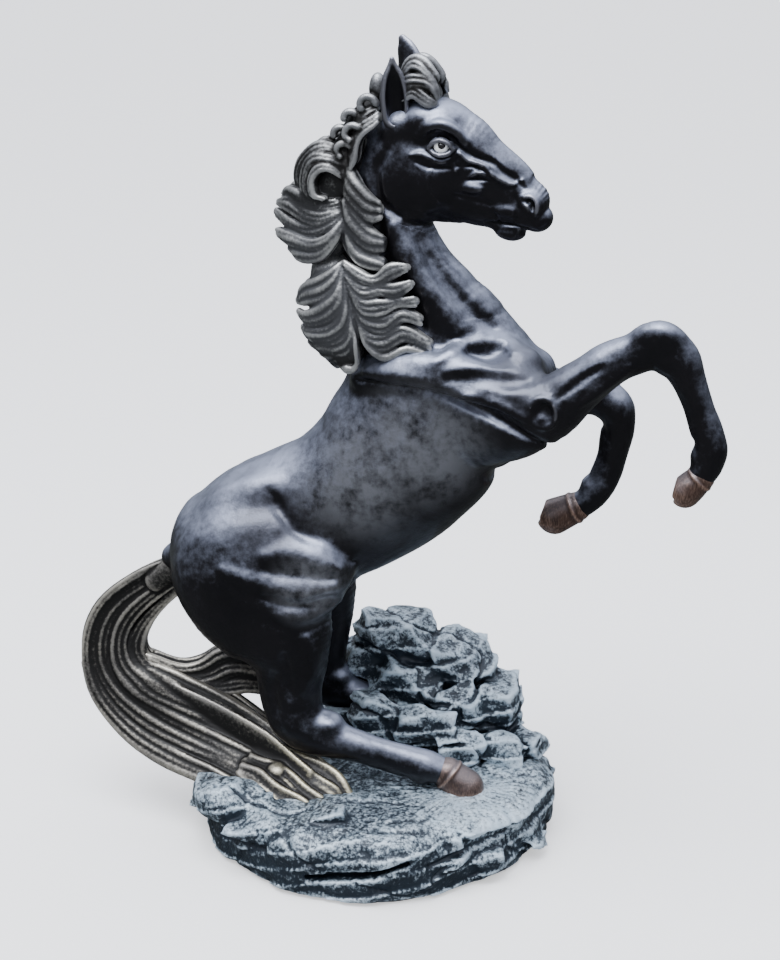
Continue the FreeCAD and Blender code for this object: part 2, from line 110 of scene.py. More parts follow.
class Blob:
    """An ellipsoid: middle, three radii and a pitch in degrees about the side axis."""

    def __init__(self, centre, radii, pitch=0.0):
        self.centre = np.array(centre, float)
        self.radii = np.array(radii, float)
        self.axes = np.array(Matrix.Rotation(math.radians(pitch), 3, "Y"))
        reach = np.sqrt(((self.axes * self.radii) ** 2).sum(1))
        self.low, self.high = self.centre - reach, self.centre + reach

    def distance(self, p):
        x, y, z = (p[i] - self.centre[i] for i in range(3))
        near = steep = 0
        for axis, r in zip(self.axes.T, self.radii):
            q = x * axis[0] + y * axis[1] + z * axis[2]
            near = near + (q / r) ** 2
            steep = steep + (q / (r * r)) ** 2
        near = np.sqrt(near)
        return near * (near - 1) / np.maximum(np.sqrt(steep), 1e-4)


class Block:
    """A rough stone: the space inside several planes, given as (unit normal, offset) round a middle."""

    def __init__(self, centre, normals, offsets, reach):
        self.centre = np.array(centre, float)
        self.normals = normals
        self.offsets = offsets
        self.low, self.high = self.centre - reach, self.centre + reach

    def distance(self, p):
        x, y, z = (p[i] - self.centre[i] for i in range(3))
        d = None
        for n, o in zip(self.normals, self.offsets):
            q = x * n[0] + y * n[1] + z * n[2] - o
            d = q if d is None else np.maximum(d, q)
        return d


def smooth_path(stations, steps):
    """Catmull-Rom curve through rows of numbers."""
    s = np.array(stations, float)
    s = np.vstack([2 * s[0] - s[1], s, 2 * s[-1] - s[-2]])
    s[0, 3:], s[-1, 3:] = s[1, 3:], s[-2, 3:]
    rows = []
    for i in range(1, len(s) - 2):
        for t in np.arange(steps) / steps:
            a, b, c, d = s[i - 1:i + 3]
            rows.append(0.5 * (2 * b + (c - a) * t + (2 * a - 5 * b + 4 * c - d) * t * t
                               + (3 * b - a - 3 * c + d) * t ** 3))
    rows.append(s[-2])
    return np.array(rows)


class Sweep:
    """A run of elliptical sections along a smooth path.

    Each station is (x, y, z, a, b): a is the half depth, b the half width along the side direction.
    """

    def __init__(self, stations, steps=5, side=(0.0, 1.0, 0.0)):
        rows = smooth_path(stations, steps)
        self.points = rows[:, :3]
        self.a = np.maximum(rows[:, 3], THINNEST)
        self.b = np.maximum(rows[:, 4], THINNEST)
        tangent = np.gradient(self.points, axis=0)
        self.tangent = tangent / np.linalg.norm(tangent, axis=1)[:, None]
        side = side - self.tangent * (self.tangent * side).sum(1)[:, None]
        self.side = side / np.linalg.norm(side, axis=1)[:, None]
        self.up = np.cross(self.tangent, self.side)
        self.reach = float(max(self.a.max(), self.b.max()))
        self.low, self.high = self.points.min(0) - self.reach, self.points.max(0) + self.reach


class Clay:
    """A box of signed distances: negative inside, positive outside."""

    def __init__(self, low, high, voxel):
        self.voxel = voxel
        self.low = np.array(low, float)
        self.count = np.ceil((np.array(high, float) - self.low) / voxel).astype(int) + 1
        self.f = np.full(self.count, FAR, np.float32)

    def window(self, low, high):
        """The slices of the grid within a box, and the coordinates there."""
        first = np.clip(np.floor((np.asarray(low) - self.low) / self.voxel).astype(int), 0, self.count)
        last = np.clip(np.ceil((np.asarray(high) - self.low) / self.voxel).astype(int) + 1, 0, self.count)
        cells = tuple(slice(int(a), int(b)) for a, b in zip(first, last))
        axes = []
        for i in range(3):
            shape = [1, 1, 1]
            shape[i] = -1
            along = self.low[i] + self.voxel * np.arange(first[i], last[i])
            axes.append(along.astype(np.float32).reshape(shape))
        return cells, axes

    def everywhere(self):
        """The coordinates of the whole grid."""
        return self.window(self.low, self.low + self.voxel * self.count)[1]

    def measure(self, form, margin):
        """(slices, distance) of a form within its own box and a margin."""
        if isinstance(form, Sweep):
            return self.measure_sweep(form, margin)
        cells, p = self.window(form.low - margin, form.high + margin)
        return cells, form.distance(p).astype(np.float32)

    def measure_sweep(self, form, margin):
        """The same for a sweep: the nearest place on its path, then the distance to the section there."""
        cells, p = self.window(form.low - margin, form.high + margin)
        shape = tuple(len(q.ravel()) for q in p)
        if min(shape) == 0:
            return cells, np.zeros(shape, np.float32)
        first = [c.start for c in cells]
        near = np.full(shape, 1e9, np.float32)
        where = np.zeros(shape, np.float32)
        pts = form.points
        for i in range(len(pts) - 1):
            r = max(form.a[i], form.a[i + 1], form.b[i], form.b[i + 1]) + margin
            sub, _ = self.window(np.minimum(pts[i], pts[i + 1]) - r, np.maximum(pts[i], pts[i + 1]) + r)
            sub = tuple(slice(s.start - o, s.stop - o) for s, o in zip(sub, first))
            sub = tuple(slice(max(s.start, 0), min(s.stop, n)) for s, n in zip(sub, shape))
            q = [p[k][tuple(sub[k] if j == k else slice(None) for j in range(3))] for k in range(3)]
            if min(len(k.ravel()) for k in q) == 0:
                continue
            ab = pts[i + 1] - pts[i]
            d = [q[k] - np.float32(pts[i][k]) for k in range(3)]
            t = np.clip((d[0] * ab[0] + d[1] * ab[1] + d[2] * ab[2]) / (ab @ ab), 0, 1)
            gap = (d[0] - t * ab[0]) ** 2 + (d[1] - t * ab[1]) ** 2 + (d[2] - t * ab[2]) ** 2
            better = gap < near[sub]
            near[sub] = np.where(better, gap, near[sub])
            where[sub] = np.where(better, i + t, where[sub])
        out = np.full(shape, FAR, np.float32)
        mask = near < (form.reach + margin) ** 2
        s = where[mask]
        grid = np.broadcast_arrays(*p)
        xyz = np.stack([g[mask] for g in grid], 1)
        i = np.minimum(s.astype(int), len(pts) - 2)
        t = (s - i)[:, None]

        def at(rows):
            share = t[:, 0] if rows.ndim == 1 else t
            return rows[i] * (1 - share) + rows[i + 1] * share

        r = xyz - at(pts)
        u = (r * at(form.up)).sum(1)
        v = (r * at(form.side)).sum(1)
        w = (r * at(form.tangent)).sum(1)
        a, b = at(form.a), at(form.b)
        c = np.minimum(a, b)
        near = np.sqrt((u / a) ** 2 + (v / b) ** 2 + (w / c) ** 2)
        steep = np.sqrt((u / a ** 2) ** 2 + (v / b ** 2) ** 2 + (w / c ** 2) ** 2)
        out[mask] = near * (near - 1) / np.maximum(steep, 1e-4)
        return cells, out

    def add(self, form, soft=0.0):
        cells, d = self.measure(form, soft + 3 * self.voxel)
        self.f[cells] = soft_min(self.f[cells], d, soft)

    def carve(self, form, soft=0.0):
        cells, d = self.measure(form, soft + 3 * self.voxel)
        self.f[cells] = -soft_min(-self.f[cells], d, soft)

    def keep_side(self, point, normal):
        """Keeps only what lies on the side a plane's normal points to."""
        d = sum((p - point[i]) * normal[i] for i, p in enumerate(self.everywhere()))
        self.f = np.maximum(self.f, -d.astype(np.float32))

    def noise(self, cell, seed, stretch=(1, 1, 1)):
        """Smooth noise over the whole block, from a seeded lattice fixed in space."""
        rng = np.random.default_rng(seed)
        start = np.array([-320.0, -220.0, -60.0])           # a box, in mm, that holds every piece
        span = np.array([640.0, 440.0, 720.0])
        cells = np.array([cell * s for s in stretch], float)
        lattice = rng.uniform(-1, 1, np.ceil(span / cells).astype(int) + 4).astype(np.float32)
        for axis in range(3):
            q = (self.low[axis] + self.voxel * np.arange(self.count[axis]) - start[axis]) / cells[axis] + 1
            i = np.floor(q).astype(int)
            t = q - i
            weight = np.zeros((len(q), lattice.shape[0]), np.float32)
            rows = np.arange(len(q))
            parts = ((1 - t) ** 3 / 6, (3 * t ** 3 - 6 * t ** 2 + 4) / 6,
                     (-3 * t ** 3 + 3 * t ** 2 + 3 * t + 1) / 6, t ** 3 / 6)
            for k, part in enumerate(parts):
                weight[rows, np.clip(i - 1 + k, 0, lattice.shape[0] - 1)] += part
            lattice = np.tensordot(weight, lattice, (1, 0))
            lattice = np.moveaxis(lattice, 0, -1)
        return lattice * 2.2


def box_blur(a, n):
    """Mean over a cube of 2n + 1 cells."""
    for axis in range(3):
        pad = [(0, 0)] * 3
        pad[axis] = (n + 1, n)
        c = np.cumsum(np.pad(a, pad, mode="edge"), axis=axis, dtype=np.float32)
        upper = [slice(None)] * 3
        lower = [slice(None)] * 3
        upper[axis], lower[axis] = slice(2 * n + 1, None), slice(None, -2 * n - 1)
        a = (c[tuple(upper)] - c[tuple(lower)]) / (2 * n + 1)
    return a


def sample(a, p):
    """Trilinear values of a grid at points in cell units."""
    limit = np.array(a.shape) - 1.001
    p = np.clip(p, 0, limit)
    i = p.astype(int)
    t = p - i
    out = 0
    for dx in (0, 1):
        for dy in (0, 1):
            for dz in (0, 1):
                shares = [t[:, k] if step else 1 - t[:, k] for k, step in enumerate((dx, dy, dz))]
                out = out + shares[0] * shares[1] * shares[2] * a[i[:, 0] + dx, i[:, 1] + dy, i[:, 2] + dz]
    return out


def edges_of(quads):
    """The four directed edges of every quad, as pairs of points."""
    return np.concatenate([quads[:, [0, 1]], quads[:, [1, 2]], quads[:, [2, 3]], quads[:, [3, 0]]])


def relax(points, quads, rounds):
    """Evens out the voxel steps: each round moves every point half way to the mean of its neighbours."""
    edges = edges_of(quads)
    n = len(points)
    count = np.bincount(edges.ravel(), minlength=n)[:, None]
    for _ in range(rounds):
        total = np.stack([np.bincount(edges[:, 0], points[edges[:, 1], k], n)
                          + np.bincount(edges[:, 1], points[edges[:, 0], k], n) for k in range(3)], 1)
        points = points + 0.5 * (total / np.maximum(count, 1) - points)
    return points


def surface(clay, rounds=2, fine=2.0):
    """The zero surface: points in mm, quads, and two marks per point: edge and rise.

    Both marks say how far a point stands out: edge over a small distance, rise over a broad one.
    """
    grid = openvdb.FloatGrid(float(FAR))
    grid.copyFromArray(np.ascontiguousarray(clay.f, np.float32))
    points, quads = grid.convertToQuads(isovalue=0.0)
    quads = quads[:, ::-1].astype(np.int64)
    points = relax(points.astype(float), quads, rounds)
    solid = np.clip(0.5 - clay.f / (2 * clay.voxel), 0, 1)
    marks = {}
    for key, radius in (("edge", fine), ("rise", BROAD)):
        n = max(1, int(round(radius / clay.voxel)))
        blurred = box_blur(box_blur(solid, n), n)
        marks[key] = np.clip(1 - sample(blurred, points), 0, 1)
    return points * clay.voxel + clay.low, quads, marks


def reach_from(points, quads, allowed, tip):
    """The allowed quads joined edge to edge with the one nearest the tip."""
    centres = points[quads].mean(1)
    gap = np.where(allowed, ((centres - np.asarray(tip)) ** 2).sum(1), np.inf)
    touched = np.zeros(len(points), bool)
    touched[quads[np.argmin(gap)]] = True
    inside = quads[allowed]
    count = 0
    while touched.sum() != count:
        count = touched.sum()
        touched[inside[touched[inside].any(1)]] = True
    taken = allowed.copy()
    taken[allowed] = touched[inside].any(1)
    return taken


def part_off(points, quads, point, normal, tip):
    """Parts a skin at a plane and sets the rim on it: which quads belong to the piece with the tip."""
    normal = unit(normal)
    height = (points - np.asarray(point)) @ normal
    taken = reach_from(points, quads, height[quads].mean(1) > 0, tip)
    rim = np.intersect1d(quads[taken], quads[~taken])
    points[rim] -= height[rim][:, None] * normal
    return taken


def caps(points, quads):
    """Triangles that close the open rims of a surface, each rim with a fan round its middle point."""
    edges = edges_of(quads)
    size = len(points)
    code = edges[:, 0] * size + edges[:, 1]
    back = edges[:, 1] * size + edges[:, 0]
    rim = edges[~np.isin(code, back)]
    follow = {int(a): int(b) for a, b in rim}
    triangles, middles = [], []
    while follow:
        start, at = follow.popitem()
        loop = [start, at]
        while at != start and at in follow:
            at = follow.pop(at)
            loop.append(at)
        if loop[0] == loop[-1]:
            loop.pop()
        middles.append(points[loop].mean(0))
        hub = size + len(middles) - 1
        for a, b in zip(loop, loop[1:] + loop[:1]):
            triangles.append((b, a, hub))
    return np.array(middles).reshape(-1, 3), np.array(triangles, np.int64).reshape(-1, 3)


def point_normals(points, quads):
    """Normals of the whole surface, so that pieces parted from it shade alike along the joint."""
    across = np.cross(points[quads[:, 2]] - points[quads[:, 0]], points[quads[:, 3]] - points[quads[:, 1]])
    total = np.stack([np.bincount(quads.ravel(), np.repeat(part, 4), len(points)) for part in across.T], 1)
    return total / np.maximum(np.linalg.norm(total, axis=1)[:, None], 1e-9)


def build(name, skin, taken=None, bend=None):
    """A Blender object from a surface, or from some of its quads with the open rims closed."""
    points, quads, marks = skin
    if bend:
        points = bend(points)
    normals = point_normals(points, quads)
    if taken is None:
        middles, triangles = np.zeros((0, 3)), np.zeros((0, 3), np.int64)
    else:
        used, quads = np.unique(quads[taken], return_inverse=True)
        quads = quads.reshape(-1, 4)
        points, normals = points[used], normals[used]
        marks = {key: values[used] for key, values in marks.items()}
        middles, triangles = caps(points, quads)
    everything = np.vstack([points, middles]) * MM
    corners = np.concatenate([quads.ravel(), triangles.ravel()])
    starts = np.concatenate([np.arange(len(quads)) * 4, quads.size + np.arange(len(triangles)) * 3])
    mesh = bpy.data.meshes.new(name)
    mesh.vertices.add(len(everything))
    mesh.vertices.foreach_set("co", everything.astype(np.float32).ravel())
    mesh.loops.add(len(corners))
    mesh.loops.foreach_set("vertex_index", corners.astype(np.int32))
    mesh.polygons.add(len(starts))
    mesh.polygons.foreach_set("loop_start", starts.astype(np.int32))
    mesh.update(calc_edges=True)
    for key, values in marks.items():
        values = np.concatenate([values, np.full(len(middles), 0.5)])
        mesh.attributes.new(key, "FLOAT", "POINT").data.foreach_set("value", values.astype(np.float32))
    mesh.shade_smooth()
    if len(triangles):
        flat = np.cross(everything[triangles[:, 1]] - everything[triangles[:, 0]],
                        everything[triangles[:, 2]] - everything[triangles[:, 0]])
        flat /= np.maximum(np.linalg.norm(flat, axis=1)[:, None], 1e-12)
        mesh.normals_split_custom_set(np.vstack([normals[quads.ravel()], np.repeat(flat, 3, 0)]).tolist())
    obj = bpy.data.objects.new(name, mesh)
    bpy.context.scene.collection.objects.link(obj)
    return obj


def show(obj, *nodes, slot):
    """The piece rides on the statue's body, stands for its CAD nodes and takes a finish."""
    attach(obj, BODY)
    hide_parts(*nodes)
    obj.data.materials.append(FINISH[slot])
    return obj


# ------------------------------------------------------------------ the horse's skin
def profile(sections):
    """Stations from (upper x, upper z, lower x, lower z, half width) sections in the middle plane."""
    return [((top_x + low_x) / 2, 0, (top_z + low_z) / 2, math.hypot(top_x - low_x, top_z - low_z) / 2, half)
            for top_x, top_z, low_x, low_z, half in sections]


def on_side(rows, side):
    """Stations drawn for the left side, set on either side."""
    return [(x, side * y, z, a, b) for x, y, z, a, b in rows]


def swollen(rows, room):
    """The same stations with larger sections."""
    return [(x, y, z, a + room, b + room) for x, y, z, a, b in rows]


def skin_at(clay, x, z, side):
    """Where the clay's surface lies on one side at (x, z): its y."""
    i = int(round((x - clay.low[0]) / clay.voxel))
    k = int(round((z - clay.low[2]) / clay.voxel))
    column = clay.f[min(max(i, 0), clay.count[0] - 1), :, min(max(k, 0), clay.count[2] - 1)]
    inside = np.nonzero(column < 0)[0]
    if len(inside) == 0:
        return 0.0
    j = inside[0] if side < 0 else inside[-1]
    n = j + (-1 if side < 0 else 1)
    step = column[j] / (column[j] - column[n]) if 0 <= n < len(column) else 0.0
    return float(clay.low[1] + clay.voxel * (j + (n - j) * step))


def stroke(clay, side, points, width, height, soft):
    """A ridge, or with a negative height a groove, drawn on one side of the skin through (x, z) points."""
    line = smooth_path([(x, 0.0, z, 1, 1) for x, z in points], 4)
    rows = []
    reach = width * 1.2
    way = math.copysign(1, height)
    for i, (x, _, z, _, _) in enumerate(line):
        t = i / (len(line) - 1)
        thin = min(1.0, 0.35 + 3.2 * min(t, 1 - t))
        inward = way * (reach - abs(height) * thin)
        rows.append((x, skin_at(clay, x, z, side) - side * inward, z, width * thin, reach))
    work = clay.add if height > 0 else clay.carve
    work(Sweep(rows, steps=1), soft)


def both(clay, points, width, height, soft):
    """The same stroke on both sides."""
    for side in (RIGHT, LEFT):
        stroke(clay, side, points, width, height, soft)


def pair(clay, x, y, z, radii, soft, pitch=0.0, cut=False):
    """The same muscle on both sides."""
    for side in (RIGHT, LEFT):
        work = clay.carve if cut else clay.add
        work(Blob((x, side * y, z), radii, pitch), soft)


TRUNK = profile([
    (-121, 250, -103, 162, 33), (-102, 269, -76, 168, 45),
    (-77, 284, -31, 185, 45), (-53, 297, 4, 202, 44), (-32, 319, 39, 224, 48),
    (-20, 342, 70, 253, 48), (-6, 354, 93, 287, 45), (30, 366, 111, 315, 39), (58, 376, 116, 341, 27),
])
NECK = profile([
    (-14, 330, 88, 318, 34), (-22, 360, 102, 360, 34), (-28, 390, 77, 398, 30), (-30, 420, 57, 421, 26),
    (-28, 450, 43, 444, 23), (-20, 480, 36, 460, 21.5), (-6, 508, 38, 476, 20.5), (8, 526, 40, 496, 18),
])
NEAR_FORE = [
    (78, -30, 324, 30, 17), (104, -40, 334, 29, 18), (128, -44, 344, 22, 17), (148, -44, 360.5, 17, 15),
    (168.5, -43, 377, 14.8, 13.2), (184, -42, 385, 14, 12.8), (199, -41, 391.5, 16.5, 13),
    (212, -41, 382, 14.5, 12), (219, -41, 369, 11.3, 10.5), (224.5, -40, 357, 10, 9.8),
    (229.5, -40, 345, 9, 9.2), (234, -40, 334, 9.8, 9.8), (236.5, -40, 322, 11, 10.8),
    (235, -40, 312, 10.6, 10.4), (231, -40, 303, 9.5, 9.5), (227, -40, 298, 8.5, 8.5),
]
FAR_FORE = [
    (74, 28, 300, 28, 16), (98, 36, 312, 25, 16), (118, 38, 322, 20, 15), (136, 38, 329, 16.5, 13.5),
    (152, 37, 329, 15, 12.5), (164, 36, 321, 13.5, 12.5), (168.5, 35, 307, 11, 10.5),
    (166, 35, 289, 9.2, 9), (161.5, 35, 271, 9, 9), (153, 34, 257, 9.8, 9.8), (142, 33, 247, 9.8, 9.5),
    (134, 33, 242, 9, 9),
]
THIGH = [
    (-92, 14, 250, 30, 14), (-86, 24, 232, 46, 22), (-80, 31, 210, 62, 27), (-76, 34, 195, 63, 28),
    (-71, 36, 178, 57, 28), (-65, 38, 164, 47, 26), (-59, 40, 152, 37, 22.5), (-55, 41, 138, 28, 18.5),
    (-54, 41, 120, 23, 16), (-52, 41, 105, 21, 14.5), (-50, 41, 94, 19, 14),
]
SHANK = [
    (-51, 41, 94, 17, 13), (-44, 41, 86, 18, 14), (-29, 40.5, 80, 15, 12.5), (-6, 40, 76, 11.5, 10.5),
    (14, 39, 71, 10.6, 9.6), (32, 38, 66.5, 11.5, 10.5), (45, 37, 63, 12.5, 12),
    (55, 36.5, 60.5, 10.5, 10.5), (62, 36, 58.5, 9.5, 10),
]
LEFT_HIND_DRIFT = -16.0                # the left hind foot stands this much further back


def hind_drift(side, z):
    """How much further back the left hind leg stands at a height: nothing above the hock."""
    return LEFT_HIND_DRIFT * min(1.0, max(0.0, (114 - z) / 50)) if side == LEFT else 0.0


def hind_rows(rows, side):
    """A hind leg's stations on one side, with the left leg's drift."""
    return [(x + hind_drift(side, z), y, z, a, b) for x, y, z, a, b in on_side(rows, side)]


def carve_hind_legs(clay):
    """Thighs and shanks with the hock, the tendon and the fetlock of each."""
    for side in (RIGHT, LEFT):
        clay.add(Sweep(hind_rows(THIGH, side), steps=4), 10)
        clay.add(Sweep(hind_rows(SHANK, side), steps=4), 6)
        # point of the hock, and the cord above it
        cord = [(-75, 41, 128, 4, 4), (-73, 41, 112, 4.6, 5), (-68, 41, 98, 6, 6), (-60, 41, 86, 7, 7)]
        clay.add(Sweep(hind_rows(cord, side), steps=3), 6)
        drift = hind_drift(side, 82)
        stroke(clay, side, [(-62, 134), (-65, 118), (-62 + drift, 102)], 4, -2.0, 4)
        clay.add(Blob((-26 + drift, side * 41, 93), (9, 11, 7)), 7)
        # tendon behind the cannon, fetlock and ergot
        drift = hind_drift(side, 66)
        tendon = [(drift - 30, 40, 70, 3.4, 4), (drift, 39.5, 65, 3.2, 3.6), (drift + 28, 38, 57.5, 4, 4)]
        clay.add(Sweep(on_side(tendon, side), steps=3), 3)
        clay.add(Blob((40 + drift, side * 37, 55), (8, 8.5, 5)), 4)


def carve_forelegs(clay):
    """Knees, tendons and fetlocks on the raised forelegs."""
    # knees: two lumps on the near one, one on the far one
    clay.add(Blob((204, -41, 398), (11, 11, 9), pitch=10), 6)
    clay.add(Blob((203, -41, 381), (7, 9, 7)), 6)
    clay.add(Blob((165, 36, 322), (10, 11, 9), pitch=40), 6)
    # tendons behind the cannons, then the fetlocks
    clay.add(Sweep([(214, -41, 366, 3.6, 4), (221, -41, 349, 3.2, 3.6), (226, -40, 332, 4, 4)], steps=3), 3)
    clay.add(Sweep([(158, 35, 304, 3.6, 4), (156, 35, 286, 3.2, 3.6), (151, 34, 268, 4, 4)], steps=3), 3)
    clay.add(Blob((228, -40, 315), (5, 7, 7)), 4)
    clay.add(Blob((147, 34, 262), (5, 7, 7)), 4)


def carve_neck(clay, soft=0.0):
    """The neck with the groove behind the windpipe and the cords beside it."""
    clay.add(Sweep(NECK, steps=5), soft)
    both(clay, [(36, 446), (45, 432), (58, 416), (72, 402), (84, 391)], 4.5, -1.8, 7)    # groove
    both(clay, [(20, 455), (34, 425), (50, 402), (62, 390)], 9, 2.2, 8)                  # cord
    both(clay, [(8, 470), (14, 440), (26, 412), (40, 390)], 4, -2.0, 5)                  # hollow behind it


def carve_shoulders(clay):
    """Shoulder masses over the barrel, the left one lower, with the folds of skin at the elbow."""
    for side, drop in ((RIGHT, 0), (LEFT, 16)):
        mass = [(-4, 22, 350, 8, 8), (28, 38, 363 - drop / 2, 12, 12), (68, 42, 362 - drop, 14, 13),
                (104, 46, 352 - drop, 14, 13), (126, 47, 343 - drop, 13, 12)]
        clay.add(Sweep(on_side(mass, side), steps=4), 8)
        clay.add(Blob((104, side * 26, 360 - drop), (16, 18, 20), pitch=30), 12)
    under_fold = [(-8, 350), (10, 352), (34, 352), (55, 349), (75, 343), (96, 337), (116, 327), (134, 316)]
    both(clay, under_fold, 3.6, -4.5, 3.5)
    both(clay, [(2, 358), (30, 361), (56, 357), (80, 350)], 5, 2.2, 5)
    stroke(clay, RIGHT, [(50, 372), (70, 379), (90, 380), (106, 376)], 5, 2.0, 4)
    stroke(clay, RIGHT, [(62, 362), (88, 366), (116, 364)], 6.5, -3.8, 5)
    stroke(clay, LEFT, [(56, 350), (80, 353), (104, 350)], 6.5, -2.6, 5)
    both(clay, [(66, 352), (92, 350), (116, 340)], 4, 2.6, 3)
    both(clay, [(84, 343), (100, 341), (112, 335)], 2.2, -1.8, 2)
    for side, x, z in ((RIGHT, 126, 345), (LEFT, 112, 322)):
        curl = [(x + 9 * math.cos(t), z + 10 * math.sin(t)) for t in np.linspace(-2.2, 3.4, 9)]
        stroke(clay, side, curl, 2.6, 2.4, 2)
        stroke(clay, side, [(x - 4, z - 2), (x + 1, z + 4), (x + 4, z - 3)], 3.4, -3.0, 3)
    stroke(clay, RIGHT, [(136, 356), (150, 368), (164, 378)], 2.6, -2.0, 3)
    stroke(clay, RIGHT, [(150, 352), (166, 366), (182, 379)], 3.5, 1.2, 4)


def carve_haunches(clay):
    """Flank fold, a round haunch with streaks of muscle drawn together at the stifle, and the rump."""
    both(clay, [(-70, 268), (-62, 256), (-50, 243), (-34, 232), (-19, 225), (-7, 217)], 4.6, -3.4, 6)
    pair(clay, -55, 53, 264, (12, 8, 9), soft=10, cut=True)
    for side in (RIGHT, LEFT):
        clay.add(Blob((-88, side * 37, 206), (50, 25, 46), pitch=-15), 14)
        clay.add(Blob((-34, side * 41, 212), (22, 14, 18), pitch=20), 16)
    both(clay, [(-68, 226), (-44, 227), (-18, 219)], 7, 0.9, 7)
    both(clay, [(-66, 216), (-42, 214), (-18, 211)], 3.0, -0.9, 5)
    both(clay, [(-96, 214), (-68, 206), (-43, 201), (-22, 204)], 5, 1.0, 6)
    both(clay, [(-66, 196), (-42, 191), (-20, 197)], 3.0, -0.7, 5)
    both(clay, [(-59, 184), (-36, 182), (-17, 192)], 4, 0.6, 5)
    both(clay, [(-38, 164), (-36, 144), (-40, 124)], 5, 2.2, 6)
    both(clay, [(-54, 152), (-52, 134), (-52, 118)], 3, -2.4, 5)
    # hip bone, and the groove down the middle of the rump
    pair(clay, -90, 27, 257, (24, 9, 11), pitch=-25, soft=14)
    pair(clay, -111, 15, 205, (37, 27, 42), soft=14)
    clay.carve(Sweep([(-128, 0, 258, 3, 4), (-106, 0, 279, 4, 4), (-78, 0, 290, 3, 4)]), 9)
    clay.add(Blob((-146, 0, 196), (16, 13, 13)), 8)


def carve_chest(clay):
    """The round breast between the forelegs, with a groove down its middle."""
    clay.add(Blob((112, 0, 350), (14, 26, 18), pitch=20), 10)
    clay.add(Blob((92, 0, 323), (26, 28, 32)), 12)
    clay.carve(Sweep([(112, 0, 382, 4, 3), (128, 0, 364, 5, 3), (130, 0, 344, 4, 3)]), 6)


def hand_worked(clay):
    """The slight unevenness of modelled wax, finer on the head."""
    height = clay.low[2] + clay.voxel * np.arange(clay.count[2])
    amount = np.interp(height, [430, 485], [0.55, 0.25]).astype(np.float32)
    bumps = amount * (clay.noise(15, 11) + 0.45 * clay.noise(6.5, 12))
    clay.f = np.where(np.abs(clay.f) < 6, clay.f + bumps, clay.f).astype(np.float32)


HEAD = profile([
    (4, 526, 2, 492, 12), (18, 538, 10, 476, 17), (44, 540, 32, 463, 20), (62, 534, 50, 459, 18),
    (80, 519, 66, 457.5, 14.5), (94, 508, 82, 454.5, 12), (107, 496, 95, 451.5, 11),
    (114, 488, 107, 452.5, 10.5), (117, 475, 115, 457, 8.5),
])
EYE = np.array([52.5, 17.6, 512.7])
EYE_RADIUS, PUPIL_RADIUS = 5.2, 2.9
BROW = [(38, 17, 519, 3, 3), (45, 20, 525.5, 3.4, 3.4), (54, 20.5, 527.5, 3.6, 3.6),
        (62, 18, 523.5, 3.2, 3.2), (68, 15, 516, 2.6, 2.6)]
UPPER_LID = [(44.6, 19.2, 511.4, 1.4, 2.2), (47.6, 20.6, 515.4, 1.9, 2.8), (52.6, 21.2, 517.5, 2.1, 3.0),
             (57.6, 20.2, 515.6, 1.9, 2.8), (61, 17.6, 511.4, 1.4, 2.0)]
LOWER_LID = [(44.6, 19.2, 511.4, 1.4, 2.2), (48, 20.4, 508.8, 1.7, 2.4), (53, 21.0, 507.5, 1.8, 2.6),
             (58, 19.6, 508.8, 1.7, 2.4), (61, 17.6, 511.4, 1.4, 2.0)]


def carve_head(clay):
    """The skull with its cheeks and eyes, then the bones of the face, then the muzzle."""
    clay.add(Sweep(HEAD, steps=6), 8)
    pair(clay, 42, 6, 528, (20, 14, 11), soft=8)                       # flat of the forehead
    pair(clay, 30, 11, 486, (25, 10, 22), pitch=15, soft=7)            # round plate of the cheek
    pair(clay, 18, 12, 523, (9, 7, 8), soft=7)                         # foot of the ear
    pair(clay, 74, 8, 508, (24, 5, 7), pitch=37, soft=7)               # edge of the nose bone
    # back and lower edge of the cheek
    both(clay, [(14, 508), (7, 492), (11, 474), (24, 464)], 3, -2.6, 4)
    both(clay, [(28, 465), (44, 462), (60, 461)], 3, 1.0, 4)
    # temple hollow and the socket
    pair(clay, 35, 24, 514, (11, 5, 5), soft=5, cut=True)
    pair(clay, EYE[0] + 1, 25.5, EYE[2] + 0.8, (11, 8, 8), soft=3, cut=True)
    for side in (RIGHT, LEFT):
        for line, soft in ((BROW, 4), (UPPER_LID, 1.4), (LOWER_LID, 1.4)):
            clay.add(Sweep(on_side(line, side), steps=4), soft)
        clay.carve(Blob((EYE[0], side * EYE[1], EYE[2]), (EYE_RADIUS + 0.3,) * 3), 0.4)
    both(clay, [(41, 518), (46.5, 522), (53, 523.6), (60, 520.6), (65, 514)], 1.0, -1.1, 1.0)
    carve_cheekbone(clay)
    carve_muzzle(clay)


